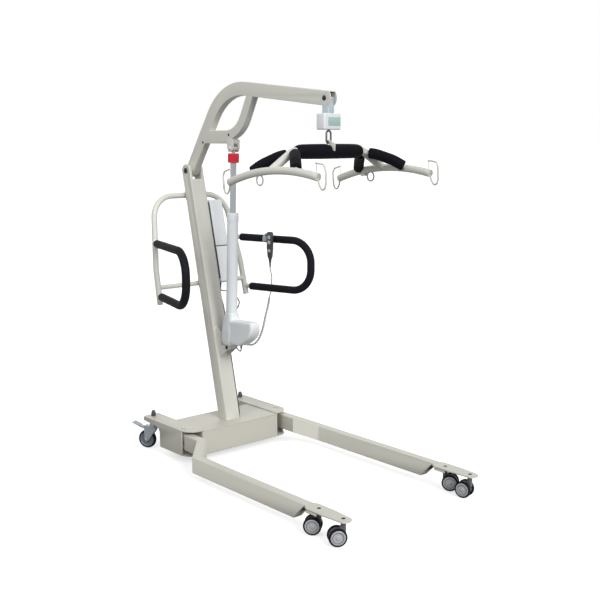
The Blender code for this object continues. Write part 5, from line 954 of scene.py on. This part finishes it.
# A dark grey ring, nearly flush with the hub, at the foot of its raised rim: painted shade of the groove
# there.
groove_shade_rows = [(0.0212, 0.7), (0.0236, 0.8), (0.0247, 0.8), (0.0247, 0.4), (0.0212, 0.4)]
model_hub, model_groove_shade = (turned([(r, FRONT_W * w) for r, w in rows]) for rows in (hub_rows, groove_shade_rows))


def copy_of(model):
    """A copy with a mesh of its own."""
    pick_up(model)
    bpy.ops.object.duplicate(linked=False)
    return bpy.context.object


FRONT_STEMS, FRONT_Y, FRONT_TRAIL, WHEEL_ASIDE = (1.136, 1.2855), 0.407, 0.026, 0.019
FRONT_YAWS = {("right", 0): -141.5, ("right", 1): -122.5, ("left", 0): 33.5, ("left", 1): -166.1}
# A thin black disc on the leg plate over each caster stem: painted shade of the stem's hole in the plate.
hole_shade_profile = [(0, 0.0006), (0.0078, 0.0006), (0.009, 0.0001), (0.009, -0.0006), (0, -0.0006)]
for (word, number), yaw in FRONT_YAWS.items():
    caster = f"caster_{word}_{('inner', 'outer')[number]}"
    stem = Matrix.Translation(at(FRONT_STEMS[number], FRONT_Y if word == "left" else -FRONT_Y, 0.0))
    for letter, sign in (("a", 1), ("b", -1)):
        spot = stem @ turn(yaw, "Z") @ shift(FRONT_TRAIL, sign * WHEEL_ASIDE, FRONT_R) @ turn(-90 * sign, "X")
        roller = f"{caster}_roller_{letter}"
        done(placed(copy_of(model_tyre), spot), f"{caster}_tyre_{letter}", roller, TYRE,
             f"{caster}_wheel_{letter}")
        done(placed(copy_of(model_hub), spot), f"{caster}_hub_{letter}", roller, HUB)
        done(placed(copy_of(model_groove_shade), spot), f"{caster}_hub_groove_shade_{letter}", roller, FORK_GREY)
    done(refined(f"{caster}_fork", 0), f"{caster}_swivel_fork", f"{caster}_frame", FORK_GREY,
         f"{caster}_fork")
    hole_shade = turned(hole_shade_profile, stem @ shift(0, 0, LEG_PLATE_TOP), 28)
    done(hole_shade, f"{caster}_stem_hole_shade", f"{word}_leg", TYRE)
for model in (model_tyre, model_hub, model_groove_shade):
    bpy.data.objects.remove(model)

# %% Rear wheels, forks, pedals and caps
REAR_R, REAR_W = 0.05, 0.013                    # radius and half width
REAR_STEM_X, REAR_STEM_Y, REAR_YAW, REAR_TRAIL = -0.3166, 0.2945, 147.0, 0.038
rear_tyre = tyre_profile([(0.79, 0.85), (0.83, 0.98), (0.9, 0.93), (0.95, 0.74), (0.985, 0.45),
                          (0.9985, 0.12)], REAR_R, REAR_W)
rear_hub = mirrored([(r, REAR_W * w) for r, w in (
    (0, 1.0), (0.014, 1.0), (0.0152, 0.9), (0.019, 0.46), (0.035, 0.46), (0.0375, 0.6),
    (REAR_R * 0.8, 0.86))])
cap = [(r, SIDE_TOP + SEAT_GAP + h) for r, h in (
    (0, 0.032), (0.0035, 0.0315), (0.0072, 0.0288), (0.01, 0.0242), (0.0118, 0.018), (0.0125, 0.011),
    (0.0125, 0.003), (0.0116, 0.0002), (0.0058, 0.0002))] + [(0.0058, 0.1235), (0, 0.1235)]
for side, word in SIDES:
    stem = Matrix.Translation(at(REAR_STEM_X, side * REAR_STEM_Y, 0.0))
    spot = stem @ turn(side * REAR_YAW, "Z") @ shift(REAR_TRAIL, 0, REAR_R) @ SIDEWAYS
    rear = f"rear_{word}"
    done(turned(rear_tyre, spot, 72), f"{rear}_tyre", f"{rear}_roller", TYRE, f"{rear}_wheel")
    done(turned(rear_hub, spot), f"{rear}_hub", f"{rear}_roller", REAR_HUB)
    done(refined(f"{rear}_fork", 0.001, 0.0004, 0.02, 2), f"{rear}_steel_fork", f"{rear}_frame", ZINC,
         f"{rear}_fork")
    done(refined(f"{rear}_brake_pedal", 0.0012, 0.0004, 0.02, 3), f"{rear}_foot_pedal", f"{rear}_pedal", ZINC,
         f"{rear}_brake_pedal")
    done(turned(cap, stem, 32), f"{rear}_dome_cap", "base", DARK, f"{rear}_stem_cap")

# %% [markdown]
# The scale, its clevis and the hook
#
# A plated clevis hangs from the boom's tip and carries the scale, a white box with a green display on
# its front. Below it a steel hook with a long eye turns freely and holds the spreader bar's tab.

# %% Clevis, scale and display
SCALE_LOW = 1.697
done(refined("tip_clevis", 0.0022, 0.0005, 0.02, 3), "scale_clevis", "tip", PLATED, "tip_clevis")
scale = rounded(box_piece(at(0.717, -0.052, SCALE_LOW), at(0.773, 0.052, 1.77)), 0.0065, 5)
done(scale, "scale_case", "tip", CASE, "scale_box")
window = rounded(box_piece(at(0.7726, -0.028, 1.715), at(0.7749, 0.046, 1.753)), 0.0009, 2)
done(window, "scale_window", "tip", LCD, "scale_display")

# %% Hook eye
EYE_HALF, EYE_WIRE = 0.0135, 0.0045
EYE_TOP = SCALE_LOW - EYE_WIRE - SEAT_GAP
eye_corners = [at(HOOK_SEAT.x, side * EYE_HALF, z)
               for side, z in ((-1, HOOK_SEAT.z), (1, HOOK_SEAT.z), (1, EYE_TOP), (-1, EYE_TOP))]
oval = bent_tube(eye_corners, [EYE_HALF * 0.999] * 4, EYE_WIRE * 0.99, 20, 9.0, closed=True)
stem_bar = turned([(0, 1.7165), (0.0059, 1.7165), (0.0059, 1.69), (0.0052, 1.6885), (0, 1.6885)],
                  Matrix.Translation(at(HOOK_SEAT.x, 0, 0)), 24)
done(joined([oval, stem_bar]), "scale_hook", "hook", HOOK_STEEL, "hook_eye")

# %% [markdown]
# The spreader bar
#
# The spreader bar is a welded steel frame: a centre tube that bends down at its ends, two curved tubes
# across them that carry the four open wire hooks, four short braces, two rings, and the tab that hangs
# in the hook's eye. It is drawn level and then tilted as it hangs.

# %% Frame of the spreader bar
ARC_Y, ARC_TOP, ARC_HALF, ARC_SAG, ARC_TUBE = 0.345, 1.52, 0.302, 0.04, 0.0175
ARC_RADIUS = (ARC_HALF ** 2 + ARC_SAG ** 2) / (2 * ARC_SAG)
BAR_LEVEL, BAR_BEND_Y, BAR_BEND, BAR_TUBE = 1.6, 0.218, 0.045, 0.019
BRACE_ROOT_Y, BRACE_ROOT_Z, BRACE_FOOT_X, BRACE_RISE, BRACE_BEND = 0.205, 1.594, 0.165, 0.016, 0.12
SLING_WIRE, RING_RADIUS, RING_X, LUG_X = 0.0042, 0.022, -0.082, -0.122


def arc_spot(x, side):
    """A point on the middle line of a curved tube."""
    return Vector((x, side * ARC_Y, ARC_TOP - ARC_SAG * (x / ARC_HALF) ** 2))


def arc_tube(side):
    """A circle spun about the middle of the wide curve."""
    middle = Vector((0, side * ARC_Y, ARC_TOP - ARC_RADIUS))
    swing = math.asin(ARC_HALF / ARC_RADIUS)
    start = middle + Vector((-math.sin(swing), 0, math.cos(swing))) * ARC_RADIUS
    put_all_down()
    bpy.ops.mesh.primitive_circle_add(vertices=28, radius=ARC_TUBE, fill_type="NGON", location=start,
                                      rotation=(0, math.radians(90) - swing, 0))
    piece = settle(added())
    open_mesh(piece)
    bpy.ops.mesh.spin(steps=18, angle=-2 * swing, center=middle, axis=(0, 1, 0))
    close_mesh()
    return rounded(piece, 0.0015, 2, 60)


def brace_line(fore, side):
    """The bowed middle line of a brace, from the bar's end to the curved tube."""
    start, end = Vector((0, side * BRACE_ROOT_Y, BRACE_ROOT_Z)), arc_spot(fore * BRACE_FOOT_X, side)
    rise = Vector((0, 0, BRACE_RISE))
    return [start, start.lerp(end, 0.32) + rise, start.lerp(end, 0.68) + rise, end]


bar_line = [(0, -ARC_Y, ARC_TOP), (0, -BAR_BEND_Y, BAR_LEVEL),
            (0, BAR_BEND_Y, BAR_LEVEL), (0, ARC_Y, ARC_TOP)]
steelwork = [bent_tube(bar_line, [BAR_BEND] * 2, BAR_TUBE, 28, 6.0)]
HOOK_SHAPE = ((-0.006, 0.0), (0.006, -0.036), (0.02, -0.053), (0.038, -0.047),
              (0.045, -0.026), (0.046, 0.03), (0.036, 0.051), (-0.012, 0.06))
for side in (1, -1):
    steelwork.append(arc_tube(side))
    for fore in (1, -1):
        steelwork.append(bent_tube(brace_line(fore, side), [BRACE_BEND] * 2, 0.01, 16))
        tip = arc_spot(fore * ARC_HALF, side)
        wire_line = [tip + Vector((fore * u, 0, v)) for u, v in HOOK_SHAPE]
        steelwork.append(bent_tube(wire_line, [0.014, 0.011, 0.012, 0.014, 0.02, 0.01], SLING_WIRE, 14, 12.0))
        latch = [tip + Vector((fore * u, 0, v)) for u, v in ((-0.008, 0.058), (-0.01, 0.004))]
        steelwork.append(bent_tube(latch, [], 0.0016, 10))
    ring_top = arc_spot(RING_X, side)
    put_all_down()
    bpy.ops.mesh.primitive_torus_add(
        location=(ring_top.x, ring_top.y, ring_top.z - ARC_TUBE - RING_RADIUS * 0.82),
        rotation=(math.radians(90), 0, 0), major_radius=RING_RADIUS, minor_radius=0.0039,
        major_segments=40, minor_segments=14)
    steelwork.append(rounded(settle(added()), 0.0001, 1, 80))

# %% Tab and lug of the spreader bar
TAB_NOSE, TAB_HOLE, TAB_HOLE_DROP = 0.013, 0.0071, 0.00166      # radii, and the hole below the seat
tab_outline = [(-0.014, BAR_LEVEL), (0.04, BAR_LEVEL), (0.044, 1.633), (0.03, 1.639)]
tab_outline += [(TAB_NOSE * math.cos(math.radians(a)), HOOK_SEAT.z + TAB_NOSE * math.sin(math.radians(a)))
                for a in range(20, 181, 20)]
tab = plate(tab_outline, 0.006, turn(90, "X"))
put_all_down()
bpy.ops.mesh.primitive_cylinder_add(vertices=32, radius=TAB_HOLE, depth=0.03,
                                    location=(0, 0, HOOK_SEAT.z - TAB_HOLE_DROP),
                                    rotation=(math.radians(90), 0, 0))
carved(tab, settle(added()))
lug_at = arc_spot(LUG_X, 1)
lug = box_piece(lug_at + Vector((-0.02, -0.01, -0.028)), lug_at + Vector((0.012, 0.01, 0)))
steelwork += [rounded(tab, 0.0008, 2, 50), rounded(lug, 0.002)]
spreader = placed(joined(steelwork), SPREADER_PLACE)
done(spreader, "spreader_tubes", "spreader", PAINT, "spreader_frame")

# %% [markdown]
# The padded covers
#
# Foam in black coated fabric keeps the bar off the patient's head: a long bolster over the middle tube
# and a sleeve over each brace. Foam that is wrapped tight bulges a little between its seams. So each
# cover starts as a slightly slim form, is remeshed into even small faces, and is then blown up by a
# short cloth simulation, with no point allowed to move more than a few millimetres.

# %% Puffing up a cover
CLOTH_VOXEL, CLOTH_PRESSURE, CLOTH_FRAMES = 0.0045, 4.0, 20


def puffed(piece, cap):
    """Remeshes the piece, swells it as cloth and caps how far each point moved."""
    modified(piece, "REMESH", mode="VOXEL", voxel_size=CLOTH_VOXEL)
    rest = [v.co.copy() for v in piece.data.vertices]
    cloth = piece.modifiers.new("swell", "CLOTH")
    cloth.settings.use_pressure = True
    cloth.settings.uniform_pressure_force = CLOTH_PRESSURE
    cloth.settings.effector_weights.gravity = 0.0
    cloth.settings.quality = 4
    for number in range(1, CLOTH_FRAMES + 1):
        bpy.context.scene.frame_set(number)
    pick_up(piece)
    bpy.ops.object.modifier_apply(modifier="swell")
    bpy.context.scene.frame_set(1)
    moved = 0.0
    for vertex, old in zip(piece.data.vertices, rest):
        step = vertex.co - old
        if step.length > cap:
            vertex.co = old + step.normalized() * cap
        moved = max(moved, (vertex.co - old).length)
    print(f"{piece.name}: {len(rest)} points, swelled by up to {moved * 1000:.1f} mm")
    return modified(piece, "SUBSURF", levels=1, render_levels=1)


def covered(piece, cap, name, solid):
    """Puffs up a cover, hangs it on the bar and dresses it."""
    piece = placed(puffed(piece, cap), SPREADER_PLACE)
    done(piece, name, "spreader", COVER, solid, smooth=60)


# %% Middle bolster
BOLSTER_HALF, BOLSTER_RADIUS, BOLSTER_CAP = 0.204, 0.0335, 0.0022
ends = [(0, 1), (0.45, 1), (0.66, 0.982), (0.83, 0.94), (0.94, 0.87), (0.985, 0.77), (1, 0.62), (1.015, 0.3)]
outline = mirrored([(BOLSTER_RADIUS * r, BOLSTER_HALF * h) for r, h in ends])
bolster = turned(outline, shift(0, 0, BAR_LEVEL) @ SIDEWAYS, 40)
carved(bolster, box_piece((-0.0165, -0.0215, 1.6262), (0.0165, 0.0215, 1.66)))      # a dip by the tab
carved(bolster, box_piece((-0.016, -0.004, BAR_LEVEL), (0.046, 0.004, 1.66)))       # and its slot
bolster.name = "bolster"
covered(bolster, BOLSTER_CAP, "spreader_bolster", "centre_pad")

# %% Brace sleeves
SLEEVE_RADIUS, SLEEVE_CAP = 0.0255, 0.0016
for side, word in SIDES:
    for fore, end_word in ((1, "front"), (-1, "rear")):
        core = brace_line(fore, side)
        path = [core[0].lerp(core[1], 0.5), core[1], core[2], core[2].lerp(core[3], 0.72)]
        sleeve = rounded(bent_tube(path, [BRACE_BEND] * 2, SLEEVE_RADIUS, 32, 5.0), 0.006, 4, 60)
        sleeve.name = f"sleeve_{end_word}_{word}"
        covered(sleeve, SLEEVE_CAP, f"brace_cover_{end_word}_{word}", f"brace_pad_{end_word}_{word}")

# %% [markdown]
# Floor and light
#
# The photograph is a studio cut out: a plain white ground and soft light from above and in front,
# with the sides that face the camera's right a little darker. A wide pale floor, one broad sun, a soft
# box beside the boom and a weak fill from behind give that. The world and the floor look white to the
# camera but light the lift less than they show, or all its black parts would turn grey.

# %% Floor
SHINE = 0.45                    # how much of the white surroundings a shiny surface sees
AMBIENT = 0.33                  # how much of them lights the lift
WHITE = (1.0, 1.0, 1.0, 1.0)
put_all_down()
bpy.ops.mesh.primitive_plane_add(size=240.0, location=(0, 0, -0.0005))
floor = added()
floor.name = "studio_floor"
ground = bpy.data.materials.new("studio_floor")
ground.use_nodes = True
tree = ground.node_tree
shader = tree.nodes["Principled BSDF"]
for label, value in (("Base Color", (0.86, 0.86, 0.86, 1.0)), ("Roughness", 0.9), ("Specular IOR Level", 0.0),
                     ("Emission Color", WHITE), ("Emission Strength", 0.6)):
    feed(tree, shader.inputs[label], value)
dull = node(tree, "ShaderNodeBsdfDiffuse", Color=(0.22, 0.22, 0.22, 1.0))
ray = node(tree, "ShaderNodeLightPath").outputs
shown = sums(tree, "MULTIPLY_ADD", ray["Is Glossy Ray"], SHINE, ray["Is Camera Ray"])
choice = node(tree, "ShaderNodeMixShader", Fac=shown)
feed(tree, choice.inputs[1], dull.outputs[0])
feed(tree, choice.inputs[2], shader.outputs[0])
feed(tree, tree.nodes["Material Output"].inputs["Surface"], choice.outputs[0])
floor.data.materials.append(ground)

# %% World
world = bpy.data.worlds.new("studio")
world.use_nodes = True
tree = world.node_tree
ray = node(tree, "ShaderNodeLightPath").outputs
shine = sums(tree, "MULTIPLY_ADD", ray["Is Glossy Ray"], SHINE, AMBIENT)
sky = tree.nodes["Background"].inputs
feed(tree, sky["Color"], WHITE)
feed(tree, sky["Strength"], sums(tree, "MAXIMUM", shine, ray["Is Camera Ray"]))
bpy.context.scene.world = world


# %% Lights
def lamp_at(kind, name, place, way_to_light, strength):
    """A lamp that shines from the given way."""
    put_all_down()
    bpy.ops.object.light_add(type=kind, location=place,
                             rotation=Vector(way_to_light).to_track_quat("Z", "Y").to_euler())
    lamp = added()
    lamp.name = name
    lamp.data.energy = strength
    return lamp.data


lamp_at("SUN", "front_sun", (0, 0, 4), (0.85, -0.1, 0.5), 2.05).angle = math.radians(30)
lamp_at("SUN", "back_fill", (0, 0, 4), (-0.6, 0.55, 0.58), 0.3).angle = math.radians(50)
soft_place, boom_level = Vector((0.3, -3.2, 2.9)), Vector((0.0, 0.0, 1.7))
soft_box = lamp_at("AREA", "boom_soft_box", soft_place, soft_place - boom_level, 17)
soft_box.size = 2.0
soft_box.spread = math.radians(110)
bpy.context.scene.view_settings.view_transform = "Standard"
